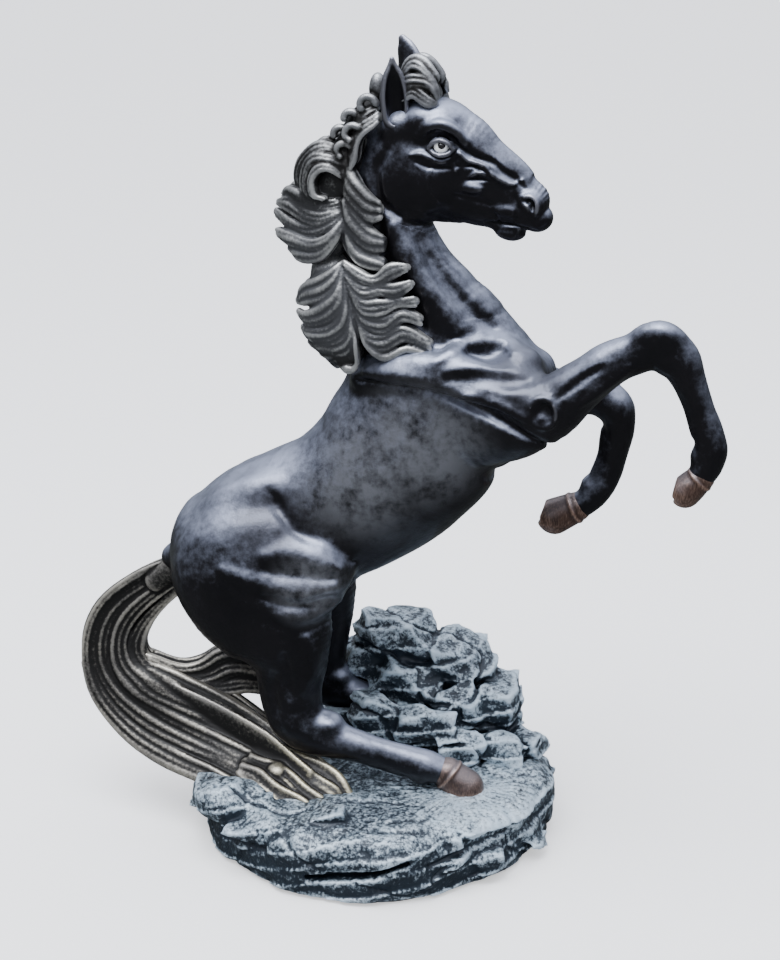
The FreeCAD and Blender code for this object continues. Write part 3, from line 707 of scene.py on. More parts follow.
def carve_cheekbone(clay):
    """A lumpy ridge from under the eye along the cheekbone."""
    both(clay, [(32, 506), (39, 507), (46, 504.5), (53, 502.5), (60, 505.5)], 2.0, 1.9, 1.5)
    both(clay, [(60, 507), (65, 508.5), (70, 504.5), (78, 503), (83, 499.5)], 1.9, 1.8, 1.5)
    both(clay, [(82, 499), (87, 495), (93, 491.5), (99, 489.5), (105, 492)], 1.8, 1.7, 1.5)
    both(clay, [(71, 493), (77.5, 496.5), (84, 494)], 1.9, 1.6, 1.2)
    both(clay, [(68, 500), (74, 500), (80, 497.5)], 1.0, -1.4, 1.0)
    both(clay, [(70, 491), (77, 491.5), (85, 491)], 1.0, -1.2, 1.0)
    both(clay, [(36, 501.5), (46, 498.5), (56, 498.5), (64, 500)], 1.6, -1.0, 2)
    crease = [(62, 515), (70, 509.5), (78, 506), (87, 503), (94, 497), (101, 493), (107, 487)]
    both(clay, crease, 2.2, -1.6, 2)
    both(clay, [(63, 496), (60, 501)], 1.6, 1.2, 1.5)
    pair(clay, 72.5, 14.2, 485.6, (7.5, 2.6, 3.2), pitch=4, soft=3)
    both(clay, [(62, 480), (72, 478), (84, 475)], 2.4, -0.9, 3)
    both(clay, [(46, 496), (44, 486), (50, 476)], 1.4, 0.7, 2)


def carve_muzzle(clay):
    """Nostrils, lips, mouth and chin."""
    pair(clay, 111, 8, 476, (8.0, 5.0, 8.0), pitch=35, soft=4)          # wings of the nostrils
    clay.add(Blob((110, 0, 465), (9.5, 10, 7)), 5)                      # upper lip
    pair(clay, 96, 9.6, 471, (9, 3.4, 4), pitch=6, soft=3)              # fullness over its corner
    clay.add(Blob((95, 0, 454.5), (11, 8.5, 5.4)), 4)                   # lower lip and chin
    clay.carve(Blob((80, 0, 448), (13, 5, 6)), 6)                       # groove behind the chin
    mouth = [(80, 462.5), (88, 461.5), (98, 461.8), (107, 460.8), (116, 459)]
    both(clay, mouth, 1.2, -1.8, 1.2)
    both(clay, [(88, 468), (90, 462), (88, 456)], 1.2, -0.8, 2)         # crease at its corner
    nostril_rim = [(107, 482), (112.5, 482), (116.5, 476), (115.5, 470)]
    both(clay, nostril_rim, 1.5, 1.3, 1.6)
    both(clay, [(109.5, 479), (113, 478.5), (114, 473)], 2.3, -3.4, 1.5)    # the nostril
    both(clay, [(101, 482), (104, 474), (103, 467)], 1.6, -0.9, 2)          # fold behind it


def bend_head(points):
    """The turn of the head: points swing about the poll's upright line, more the higher up the neck."""
    t = np.clip((points[:, 2] - NECK_BEND[0]) / (NECK_BEND[1] - NECK_BEND[0]), 0, 1)
    a = np.radians(HEAD_TURN) * t * t * (3 - 2 * t)
    x, y = points[:, 0] - POLL_X, points[:, 1]
    out = points.copy()
    out[:, 0] = POLL_X + x * np.cos(a) - y * np.sin(a)
    out[:, 1] = x * np.sin(a) + y * np.cos(a)
    return out


def carve_ear(side):
    """A leaf with a hollow that faces out and forward; the far one is pricked a little higher."""
    if side == LEFT:
        path = [(20, 12, 517, 8, 6), (20, 14, 532, 11, 7), (20, 15, 547, 12.2, 6.5), (19, 16, 560, 11, 5),
                (15, 17, 571, 7.5, 3.4), (12, 17.5, 577, 3.2, 1.8)]
    else:
        path = [(19, 12, 517, 7, 6), (19, 14, 530, 9, 7), (18.5, 15, 543, 9.8, 6.5), (18, 16, 556, 7.4, 4.6),
                (17.5, 17, 568, 1.8, 1.5)]
    path = on_side(path, side)
    low = np.array([0, side * 14 - 16, 505])
    clay = Clay(low, low + [36, 32, 80], FINE_VOXEL)
    back = unit((-0.4, -side * 0.9, 0.0))
    clay.add(Sweep(path, steps=5, side=back))
    hollow = [(x - back[0] * 5.4, y - back[1] * 5.4, z + 1, a * 0.68, b * 0.95)
              for x, y, z, a, b in path[1:-1]]
    x, y, z, _, _ = path[-1]
    hollow.append((x - back[0] * 3, y - back[1] * 3, z - 4, 1.2, 1.6))
    clay.carve(Sweep(hollow, steps=5, side=back), 1.2)
    return clay


def hoof_clay(top, toe, sole_point, sole_normal, half, width):
    """A hoof: from the coronet at the top to the toe, cut flat at the sole, with a hollow under it."""
    top, toe = np.array(top, float), np.array(toe, float)
    low = np.minimum(top, toe) - 22
    clay = Clay(low, np.maximum(top, toe) + 22, FINE_VOXEL)
    rows = []
    for t, grow in ((0.0, 0.86), (0.1, 0.97), (0.22, 0.92), (0.5, 0.98), (1.0, 1.06)):
        rows.append((*(top + (toe - top) * t), half * grow, width * grow))
    clay.add(Sweep(rows, steps=4), 1)
    normal = unit(sole_normal)
    sole = np.array(sole_point, float)
    clay.keep_side(sole, -normal)
    clay.carve(Blob(sole, (half * 0.62, width * 0.66, 2.6)), 2)
    clay.add(Blob(sole - normal * 2.4 + unit(top - toe) * 2, (2.4, 2.4, 2.4)), 1.5)
    clay.f = (clay.f + 0.25 * clay.noise(3.2, 21, (4, 4, 1)) * (np.abs(clay.f) < 4)).astype(np.float32)
    return clay


HOOVES = {
    "right_fore_hoof": ((231, -40, 301), (221, -40, 290), (212, -40, 286), (-0.95, 0, 0.2), 10.5, 11),
    "left_fore_hoof": ((140, 33, 246), (124, 33, 237), (113.5, 33, 236), (-0.93, 0, 0.28), 12.5, 12),
    "right_hind_hoof": ((60, -36, 59), (73, -36, 48), (72, -36, 46), (0, 0, -1), 13.5, 13),
    "left_hind_hoof": ((44, 36, 59), (57, 36, 48), (56, 36, 46), (0, 0, -1), 13.5, 13),
}


# ------------------------------------------------------------------ hair
OTHER_SIDE = 20                        # added to a seed for the same hair on the far side
CREST_LINE = -0.1                      # flattens the near side's guides almost on to the middle plane


def between(guides, place):
    """The line at a place among the guides; the place may change from point to point."""
    i = np.clip(place.astype(int), 0, len(guides) - 2)
    t = (place - i)[:, None]
    k = np.arange(guides.shape[1])
    return guides[i, k] * (1 - t) + guides[i + 1, k] * t


def weave(clay, guides, count, seed, lock=3, fill=0.60, gather=0.4, inward=3.0, depth=0.8, wave=1.0):
    """Strands side by side across guide lines, drawn together into locks towards their ends.

    Strands fill a share of the gap between them; each lock sways by the wave, stands out by about the
    depth, and lies on a flat body set inward of it. All three are in mm.
    """
    rng = np.random.default_rng(seed)
    guides = np.array([smooth_path(line, 4) for line in guides])
    s = np.linspace(0, 1, guides.shape[1])
    last = len(guides) - 1
    gap = last / (count - 1)
    pull = gather * np.clip((s - 0.4) / 0.6, 0, 1) ** 1.4
    taper = (0.72 + 0.28 * np.clip(s / 0.2, 0, 1)) * (1 - 0.45 * np.clip((s - 0.8) / 0.2, 0, 1))
    for first in range(0, count, lock):
        members = range(first, min(first + lock, count))
        middle = sum(members) / len(members)
        phase, swing = rng.uniform(0, 6.28), wave * rng.uniform(0.6, 1.3)
        lift = rng.normal(0, depth)
        for n in members:
            place = np.clip((n + (middle - n) * pull) * gap, 0, last)
            inner = np.clip(place, gap / 2, last - gap / 2)
            across = between(guides, inner + gap / 2) - between(guides, inner - gap / 2)
            width = np.linalg.norm(across, axis=1)
            line = between(guides, place)
            sway = swing * np.sin(9 * s + phase) * np.clip(4 * s, 0, 1)
            line += across / np.maximum(width, 0.5)[:, None] * sway[:, None]
            crown = 1 - abs(n - middle) / max(len(members) / 2, 1)
            line[:, 1] += lift - math.copysign(0.9 * crown, inward) + rng.normal(0, 0.25)
            r = np.clip(fill * width, 1.4, 4.6) * rng.uniform(0.9, 1.12) * taper
            clay.add(Sweep(np.column_stack([line, r, r]), steps=1), 0.4)
            if n == members[len(members) // 2]:
                fat = np.clip(0.5 * width * len(members), 2.0, 9.0) * (1 - 0.35 * pull) * taper
                line[:, 1] += inward
                clay.add(Sweep(np.column_stack([line, fat, np.minimum(fat, 3.0)]), steps=1), 1.0)


def mirrored(guides, flatten=0.8):
    """The same guides on the far side of the neck, lying closer to it."""
    return [[(x, -y * flatten, z) for x, y, z in line] for line in guides]


def weave_both(clay, guides, count, seed, **style):
    """Strands on the near side, and mirrored on the far side."""
    weave(clay, guides, count, seed, **style)
    weave(clay, mirrored(guides), count, seed + OTHER_SIDE, inward=-3.0, **style)


def shifted(guides, dy):
    """The same guides set over sideways."""
    return [[(x, y + dy, z) for x, y, z in line] for line in guides]


def core(line, dy, dz, a, b):
    """A plain bar under a guide line, for strands to lie on."""
    return Sweep([(x, y + dy, z + dz, a, b) for x, y, z in line], steps=4)


def crest(clay, rows):
    """The hair's solid root along the top of the neck, a little thinner on the far side."""
    clay.add(Sweep(rows))
    clay.add(Sweep([(x, -y * 0.8, z, a * 0.9, b) for x, y, z, a, b in rows]), 6)


UPPER_CURL = [
    [(-15, -18, 505), (-23, -20, 508), (-35, -18, 509), (-48, -14, 498), (-51, -14, 485), (-47, -16, 475)],
    [(-15, -22, 497), (-24, -26, 502), (-35, -26, 500), (-42, -24, 490), (-43, -24, 478), (-35, -26, 469)],
    [(-15, -24, 488), (-22, -29, 494), (-30, -30, 492), (-35, -30, 485), (-33, -30, 476), (-25, -30, 475)],
]
UPPER_SWEEP = [
    [(-20, -24, 473), (-35, -24, 470), (-50, -18, 475), (-60, -10, 476), (-66, -4, 472)],
    [(-15, -26, 466), (-25, -28, 463), (-40, -24, 463), (-56, -16, 468), (-69, -8, 467)],
    [(-14, -28, 464), (-23, -31, 456), (-38, -28, 452), (-55, -20, 454), (-70, -10, 459)],
    [(-13, -28, 460), (-21, -33, 450), (-36, -30, 443), (-51, -24, 444), (-67, -14, 446)],
    [(-12, -30, 455), (-19, -33, 443), (-30, -31, 435), (-44, -26, 431), (-51, -20, 433)],
]
NECK_FRINGE = [
    [(-13, -20, 498), (-7, -24, 486), (1, -25, 479), (10, -23, 476)],
    [(-12, -24, 480), (-6, -27, 467), (2, -27, 459), (12, -25, 455)],
    [(-12, -27, 466), (-6, -29, 450), (4, -29, 442), (17, -27, 438)],
    [(-11, -28, 452), (-5, -31, 438), (6, -31, 430), (20, -29, 428)],
]
POLL_LOCK = [
    [(0, -8, 540), (-10, -10, 533), (-17, -10, 522), (-21, -12, 512), (-19, -16, 502)],
    [(6, -12, 537), (-3, -16, 530), (-10, -16, 521), (-14, -17, 511), (-13, -20, 500)],
    [(8, -17, 526), (1, -20, 520), (-5, -21, 511), (-7, -22, 501), (-9, -24, 492)],
]
CREST_CURLS = [(-1, -13, 536, 0.3), (-13, -13, 526, -0.4), (-9, -19, 517, 0.9), (-20, -14, 515, -0.2),
               (-15, -20, 505, 0.6), (-30, -14, 506, 0.1)]
LOWER_BACK = [
    [(-12, -32, 434), (-20, -34, 427), (-34, -30, 417), (-45, -22, 410), (-53, -14, 403)],
    [(-13, -34, 427), (-16, -38, 409), (-27, -36, 396), (-39, -30, 393), (-50, -20, 395)],
    [(-10, -36, 415), (-12, -40, 394), (-24, -38, 383), (-38, -32, 379), (-45, -24, 382)],
    [(-8, -38, 402), (-7, -42, 382), (-13, -40, 370), (-26, -36, 371), (-39, -28, 372)],
    [(-7, -38, 395), (-4, -42, 377), (-5, -40, 366), (-9, -38, 361), (-14, -36, 362)],
]
LOWER_FRONT = [
    [(-11, -32, 434), (-1, -34, 428), (10, -34, 426), (21, -33, 433), (32, -31, 436)],
    [(-10, -36, 422), (0, -38, 412), (13, -38, 414), (23, -36, 412), (35, -34, 419)],
    [(-7, -38, 409), (1, -41, 395), (14, -40, 394), (26, -38, 401), (38, -36, 397)],
    [(-5, -40, 399), (3, -43, 379), (15, -42, 371), (30, -40, 379), (48, -38, 371)],
]
CREST_ROOTS = [(-12, -10, 512, 10, 9), (-22, -12, 490, 15, 13), (-34, -10, 464, 19, 15),
               (-30, -14, 442, 15, 15)]
CREST_FOOT = [(-26, -16, 422, 15, 15), (-26, -18, 404, 17, 18), (-20, -22, 384, 16, 18),
              (-12, -26, 370, 9, 11)]


def trim(clay, *forms):
    """Leaves room for the body, less a little, so that the hair bites into it."""
    for rows in forms:
        clay.carve(Sweep(swollen(rows, -1.5)))


def carve_mane_upper():
    """Hair from the poll down the crest: swept locks, a fringe over the neck and small curls."""
    clay = Clay((-80, -40, 420), (16, 34, 562), HAIR_VOXEL)
    crest(clay, CREST_ROOTS)
    clay.add(Blob((4, -7, 546), (6, 6, 11)), 3)
    for guides, count, seed in ((UPPER_CURL, 8, 1), (UPPER_SWEEP, 14, 2),
                                (NECK_FRINGE, 9, 3), (POLL_LOCK, 9, 4)):
        weave_both(clay, guides, count, seed)
    weave(clay, mirrored(UPPER_SWEEP, CREST_LINE), 9, 41)
    weave(clay, mirrored(UPPER_CURL, CREST_LINE), 6, 43)
    turns = np.linspace(0, 3.4, 8)
    for x, y, z, lean in CREST_CURLS:
        for side in (1, -0.8):
            curl = []
            for t in turns:
                r = 6.5 - 0.7 * t
                height = z + r * math.sin(t + lean)
                curl.append((x + r * math.cos(t + lean), side * (y - 1.2 - 0.4 * t), height, 2.7, 2.7))
            clay.add(Sweep(curl, steps=3), 0.6)
    trim(clay, NECK)
    return clay


def carve_mane_lower():
    """The bunch over the shoulder, parted into locks that fall back and forward."""
    clay = Clay((-64, -50, 350), (56, 46, 440), HAIR_VOXEL)
    crest(clay, CREST_FOOT)
    for guides, count, seed in ((LOWER_BACK, 16, 5), (LOWER_FRONT, 16, 6)):
        weave_both(clay, guides, count, seed)
    weave(clay, mirrored(LOWER_BACK, CREST_LINE), 9, 45)
    trim(clay, NECK, TRUNK)
    return clay


FORELOCK = [
    [(18, -4, 555), (25, -5, 564), (34, -6, 566), (41, -7, 560), (43, -8, 553)],
    [(20, -9, 551), (28, -11, 558), (36, -12, 557), (44, -12, 553), (47, -12, 547)],
    [(22, -12, 546), (29, -14, 550), (37, -15, 549), (44, -15, 546), (48, -14, 541)],
    [(23, -13, 540), (30, -16, 543), (37, -17, 541), (43, -17, 539), (46, -15, 536)],
]


def carve_forelock():
    """Curls that stand up between the ears and tip over the forehead."""
    clay = Clay((10, -26, 526), (58, 24, 576), FINE_VOXEL)
    clay.add(Blob((30, -2, 549), (14, 12, 11)))
    clay.add(Blob((38, -2, 544), (9, 11, 8)), 3)
    weave_both(clay, FORELOCK, 9, 12, gather=0.5, depth=1.6, wave=1.6)
    return clay


TAIL = [
    [(-146, -1, 199), (-179, -2, 182), (-208, -4, 159), (-222, -8, 135), (-224, -12, 109), (-214, -19, 84),
     (-189, -28, 62), (-158, -38, 49), (-122, -52, 43), (-92, -66, 40)],
    [(-147, -1, 193), (-175, -1, 176), (-201, -3, 156), (-214, -7, 133), (-215, -12, 108), (-202, -18, 86),
     (-176, -25, 68), (-142, -34, 57), (-104, -46, 51), (-66, -62, 44)],
    [(-147, 0, 186), (-171, 0, 169), (-193, -2, 149), (-203, -6, 129), (-202, -10, 107), (-187, -15, 90),
     (-158, -20, 77), (-120, -28, 66), (-80, -42, 58), (-40, -62, 47)],
    [(-146, 0, 178), (-167, 0, 160), (-185, 0, 141), (-192, -4, 124), (-186, -8, 108), (-166, -11, 97),
     (-136, -14, 86), (-100, -20, 73), (-58, -38, 59), (-14, -60, 46)],
    [(-145, 0, 171), (-164, 0, 153), (-177, -2, 135), (-180, -4, 118), (-168, -6, 106), (-146, -8, 99),
     (-118, -10, 90), (-90, -14, 78), (-62, -24, 66), (-28, -46, 53)],
]
TAIL_END = [
    [(-74, -30, 66), (-54, -36, 65), (-34, -44, 62), (-16, -51, 56), (-4, -57, 47)],
    [(-80, -38, 63), (-60, -46, 61), (-40, -55, 57), (-22, -63, 50), (-9, -69, 42)],
    [(-86, -47, 59), (-68, -56, 56), (-50, -65, 52), (-34, -73, 46), (-20, -79, 39)],
    [(-92, -56, 53), (-78, -66, 51), (-63, -74, 47), (-50, -81, 43), (-38, -86, 38)],
]
SIDE_LOCK = [
    [(-176, -4, 116), (-154, -2, 108), (-136, 2, 110), (-122, 6, 119), (-106, 10, 122), (-88, 14, 112)],
    [(-166, -6, 105), (-144, -4, 98), (-126, 0, 99), (-111, 4, 105), (-98, 8, 105), (-82, 12, 97)],
    [(-150, -8, 98), (-128, -6, 91), (-110, -2, 90), (-98, 2, 92), (-86, 6, 90), (-72, 10, 84)],
]


def carve_tail():
    """The tail's root, a flat body inside it and the strands on both faces, fanned at the end."""
    clay = Clay((-236, -96, 28), (6, 26, 210), TAIL_VOXEL)
    widths = (13, 13, 15, 16, 18, 21, 24, 25, 22, 16)
    clay.add(Sweep([(x, y + 4.5, z, w, 3.6) for (x, y, z), w in zip(TAIL[2], widths)]))
    clay.add(core(TAIL_END[1], 2, -6, 9, 9), 3)
    clay.add(core(TAIL_END[2], 2, -6, 8, 8), 3)
    clay.add(Sweep([(-138, 0, 199, 9, 7), (-152, -2, 189, 9, 8), (-168, -3, 175, 8, 6)]), 3)
    clay.add(Blob((-62, -55, 55), (9, 9, 8)), 3)
    weave(clay, TAIL, 12, 7, gather=0.15, inward=3.0, depth=1.0, wave=1.3)
    weave(clay, [line[4:] for line in TAIL], 15, 17, gather=0.3, inward=2.5, depth=1.2, wave=1.6)
    weave(clay, shifted(TAIL, 9), 12, 8, gather=0.3, inward=-3.0, depth=1.2)
    weave(clay, TAIL_END, 13, 9, gather=0.1, inward=1.5, fill=0.64, wave=1.5)
    return clay


def carve_side_lock():
    """The second lock, from the tail's bend to behind the near leg."""
    clay = Clay((-186, -16, 76), (-64, 28, 130), HAIR_VOXEL)
    clay.add(core(SIDE_LOCK[1], 3, 0, 7, 5))
    weave(clay, SIDE_LOCK, 9, 10, inward=2.5)
    weave(clay, shifted(SIDE_LOCK, 7), 6, 11, inward=-2.5)
    return clay


# ------------------------------------------------------------------ rocks
BASE_LOW, BASE_HIGH, BASE_MIDDLE = node_mm("rock_base")
PLATEAU = 49.0                         # level ground under the hooves
LEDGE = 13.0                           # height of a ledge of bedding
RIM_STONES = 30
STONE_FACES = 13                       # of each stone, besides the six that box it in
UPWARD = (0, 0, 1)
RIM_MIDDLE = np.array([BASE_MIDDLE[0] - 1, BASE_MIDDLE[1] - 5])
RIM_RADII = np.array([BASE_HIGH[0] - BASE_LOW[0], BASE_HIGH[1] - BASE_LOW[1]]) / 2


def rim_share(angle):
    """The uneven outline of the base, as a share of its ellipse."""
    share = 0.985
    for size, count, start in ((0.022, 3, 0.6), (0.014, 5, 2.0), (0.010, 9, 0.0)):
        share = share + size * np.sin(count * angle + start)
    return share


def stone(rng, centre, radii):
    """A rough convex block whose faces touch an ellipsoid of these radii."""
    normals = rng.normal(size=(STONE_FACES, 3))
    normals /= np.linalg.norm(normals, axis=1)[:, None]
    axes = np.vstack([np.eye(3), -np.eye(3)]) + rng.normal(0, 0.22, (6, 3))
    axes /= np.linalg.norm(axes, axis=1)[:, None]
    normals = np.vstack([normals, axes])
    offsets = np.linalg.norm(normals * np.array(radii), axis=1) * rng.uniform(0.80, 0.98, len(normals))
    return Block(centre, normals, offsets, float(max(radii)) * 1.25)


def pile(clay, rng, boulders, soft):
    """Stones from rows of a middle and three radii."""
    for x, y, z, *radii in boulders:
        clay.add(stone(rng, (x, y, z), radii), soft)


def weather(clay, seed, slope, lip=1.9, amount=1.0):
    """Ledges of bedding that climb along X, cracks, pits and chisel marks."""
    x, _, z = clay.everywhere()
    near = np.abs(clay.f) < 14
    level = z - slope * x + 5.5 * clay.noise(44, seed)
    phase = level / LEDGE - np.floor(level / LEDGE)
    steps = (phase ** 2 - 0.33) * lip
    chips = 1.7 * clay.noise(15, seed + 1) + 1.1 * clay.noise(7, seed + 2, (1.6, 1.6, 0.7))
    pits = 0.75 * clay.noise(3.4, seed + 3, (1.5, 1.5, 1))
    veins = np.abs(clay.noise(17, seed + 4, (1.8, 1.2, 1)))
    cracks = 2.2 * np.maximum(0, 1 - veins / 0.10)
    change = amount * (chips + pits + cracks - steps)
    clay.f = np.where(near, clay.f + change, clay.f).astype(np.float32)


def rim_point(angle, out):
    """A place at a share of the way out to the rim."""
    return (RIM_MIDDLE[0] + RIM_RADII[0] * out * math.cos(angle),
            RIM_MIDDLE[1] + RIM_RADII[1] * out * math.sin(angle))


def slab(clay):
    """The base's plain form: a low drum with an uneven outline and a top that falls away near the rim."""
    x, y, z = clay.everywhere()
    x, y = x - RIM_MIDDLE[0], y - RIM_MIDDLE[1]
    angle = np.arctan2(y / RIM_RADII[1], x / RIM_RADII[0])
    share = np.sqrt((x / RIM_RADII[0]) ** 2 + (y / RIM_RADII[1]) ** 2) / rim_share(angle)
    side = (share - 0.985) * RIM_RADII.min()
    top = z - (PLATEAU - 1.0 - 9 * np.clip((share - 0.72) / 0.3, 0, 1) ** 2)
    clay.f = (-soft_min(-side, -top, 12)).astype(np.float32)


def carve_base():
    """The round base: a slab with boulders and rim stones, weathered, and smoothed by the near hoof."""
    clay = Clay((-142, -142, -2), (142, 132, 72), BASE_VOXEL)
    slab(clay)
    rng = np.random.default_rng(31)
    pile(clay, rng, [
        (-60, -98, 30, 30, 17, 13), (-112, -40, 30, 20, 24, 16), (-26, -108, 24, 32, 16, 13),
        (30, -110, 16, 40, 14, 13), (66, -94, 30, 24, 15, 10), (91, -74, 16, 20, 15, 11),
        (101, -30, 34, 20, 28, 12), (-20, -92, 38, 28, 14, 8), (-110, 30, 30, 22, 30, 16),
        (-70, 86, 32, 30, 24, 15), (103, 40, 26, 18, 26, 16), (60, 100, 26, 32, 18, 18),
        (0, 112, 24, 34, 14, 16), (-118, -6, 26, 14, 22, 14),
    ], 3)
    for k in range(RIM_STONES):
        angle = 2 * math.pi * (k + rng.uniform(-0.3, 0.3)) / RIM_STONES
        out = rng.uniform(0.80, 0.88) - 0.05 * max(0.0, math.cos(angle))
        place = (*rim_point(angle, out), rng.uniform(9, 36))
        clay.add(stone(rng, place, rng.uniform((10, 9, 6), (19, 13, 11))), 2)
    # the round knob at the front left
    for x, y, z, *radii in ((-94, -78, 41, 24, 20, 16), (-108, -62, 36, 16, 18, 14),
                            (-76, -72, 44, 18, 14, 10)):
        clay.add(Blob((x, y, z), radii), 5)
    weather(clay, 51, 0.2)
    chisel_ground(clay)
    # cracks that climb along the front
    for crack in ([(-108, -84, 26, 2, 5), (-84, -106, 25, 2.4, 7), (-56, -120, 27, 2, 5)],
                  [(-22, -126, 16, 2, 5), (14, -128, 22, 2.6, 8), (48, -122, 31, 2, 6)],
                  [(64, -116, 26, 2, 6), (90, -94, 31, 3.6, 9), (114, -66, 34, 2.4, 7)]):
        clay.carve(Sweep(crack), 3)
    clay.keep_side((0, 0, BASE_LOW[2]), UPWARD)
    return clay


def chisel_ground(clay):
    """Smoother ground round the near hoof, with fine marks that fan out from it."""
    x, y, z = clay.everywhere()
    x, y = x - 70.0, y + 40.0
    away = np.sqrt((x / 62) ** 2 + (y / 46) ** 2)
    calm = np.clip(1.35 - away, 0, 1) * (z > 38)
    plain_top = z - PLATEAU + 0.035 * np.hypot(x, y)
    fan = 0.7 * np.sin(np.arctan2(y, x) * 46 + 2.0 * clay.noise(20, 77))
    clay.f = (clay.f * (1 - 0.85 * calm) + (plain_top + fan) * 0.85 * calm).astype(np.float32)


def carve_outcrop():
    """Blocks behind and between the hind legs."""
    clay = Clay((-56, -14, 42), (138, 116, 146), OUTCROP_VOXEL)
    pile(clay, np.random.default_rng(8), [
        (0, 62, 117, 37, 27, 23), (50, 60, 97, 29, 25, 21), (80, 50, 74, 25, 24, 23),
        (106, 34, 52, 19, 20, 12), (-24, 58, 92, 20, 20, 26), (16, 40, 92, 32, 16, 19),
        (56, 33, 76, 27, 17, 17), (90, 20, 56, 21, 17, 12), (-4, 16, 72, 26, 13, 20),
        (32, 12, 70, 25, 13, 18), (64, 6, 57, 20, 13, 12), (20, 70, 78, 46, 32, 40),
        (62, 60, 62, 36, 28, 24), (0, 94, 82, 32, 16, 36), (44, 90, 68, 28, 17, 26),
        (-30, 84, 66, 20, 20, 22), (-34, 30, 60, 16, 14, 14),
    ], 2.5)
    weather(clay, 61, 0.16, lip=1.6, amount=1.15)
    # a cleft for the far hind leg, and room for its hoof
    for rows in (THIGH, SHANK):
        clay.carve(Sweep(swollen(hind_rows(rows, LEFT), 2.0), steps=4), 2)
    clay.carve(Blob((48, 36, 54), (22, 17, 16)), 2)
    clay.keep_side((0, 0, PLATEAU - 3), UPWARD)
    return clay


def felt_sheet():
    """A pressed felt sheet cut to the outline of the base, with a soft rounded edge."""
    low, high, _ = node_mm("felt_pad")
    thick = high[2] - low[2]
    turns = 180                        # points round each ring
    angle = np.linspace(0, 2 * np.pi, turns, endpoint=False)
    shares = [0.25, 0.5, 0.75, 0.93]
    rings = [(share, 0.0) for share in shares]
    for t in np.linspace(0, math.pi, 5):
        rings.append((0.94 + 0.006 * math.sin(t), thick * (1 - math.cos(t)) / 2))
    rings += [(share, thick) for share in reversed(shares)]
    rng = np.random.default_rng(5)
    points = []
    for share, z in rings:
        r = share * rim_share(angle) + (rng.normal(0, 0.0012, turns) if share > 0.9 else 0)
        wave = z + (0.12 * np.sin(angle * 7 + 9 * share) if 0 < z < thick else 0)
        ring = np.stack([RIM_MIDDLE[0] + RIM_RADII[0] * r * np.cos(angle),
                         RIM_MIDDLE[1] + RIM_RADII[1] * r * np.sin(angle), np.full(turns, low[2]) + wave], 1)
        points += [tuple(q) for q in ring * MM]
    under, over = len(points), len(points) + 1
    points += [(*(RIM_MIDDLE * MM), low[2] * MM), (*(RIM_MIDDLE * MM), high[2] * MM)]
    faces = []
    last = (len(rings) - 1) * turns
    for row in range(0, last, turns):
        for i in range(turns):
            j = (i + 1) % turns
            faces.append((row + i, row + j, row + turns + j, row + turns + i))
    for i in range(turns):
        j = (i + 1) % turns
        faces.append((j, i, under))
        faces.append((last + i, last + j, over))
    mesh = bpy.data.meshes.new("felt_sheet")
    mesh.from_pydata(points, [], faces)
    mesh.shade_smooth()
    obj = bpy.data.objects.new("felt_sheet", mesh)
    bpy.context.scene.collection.objects.link(obj)
    return obj


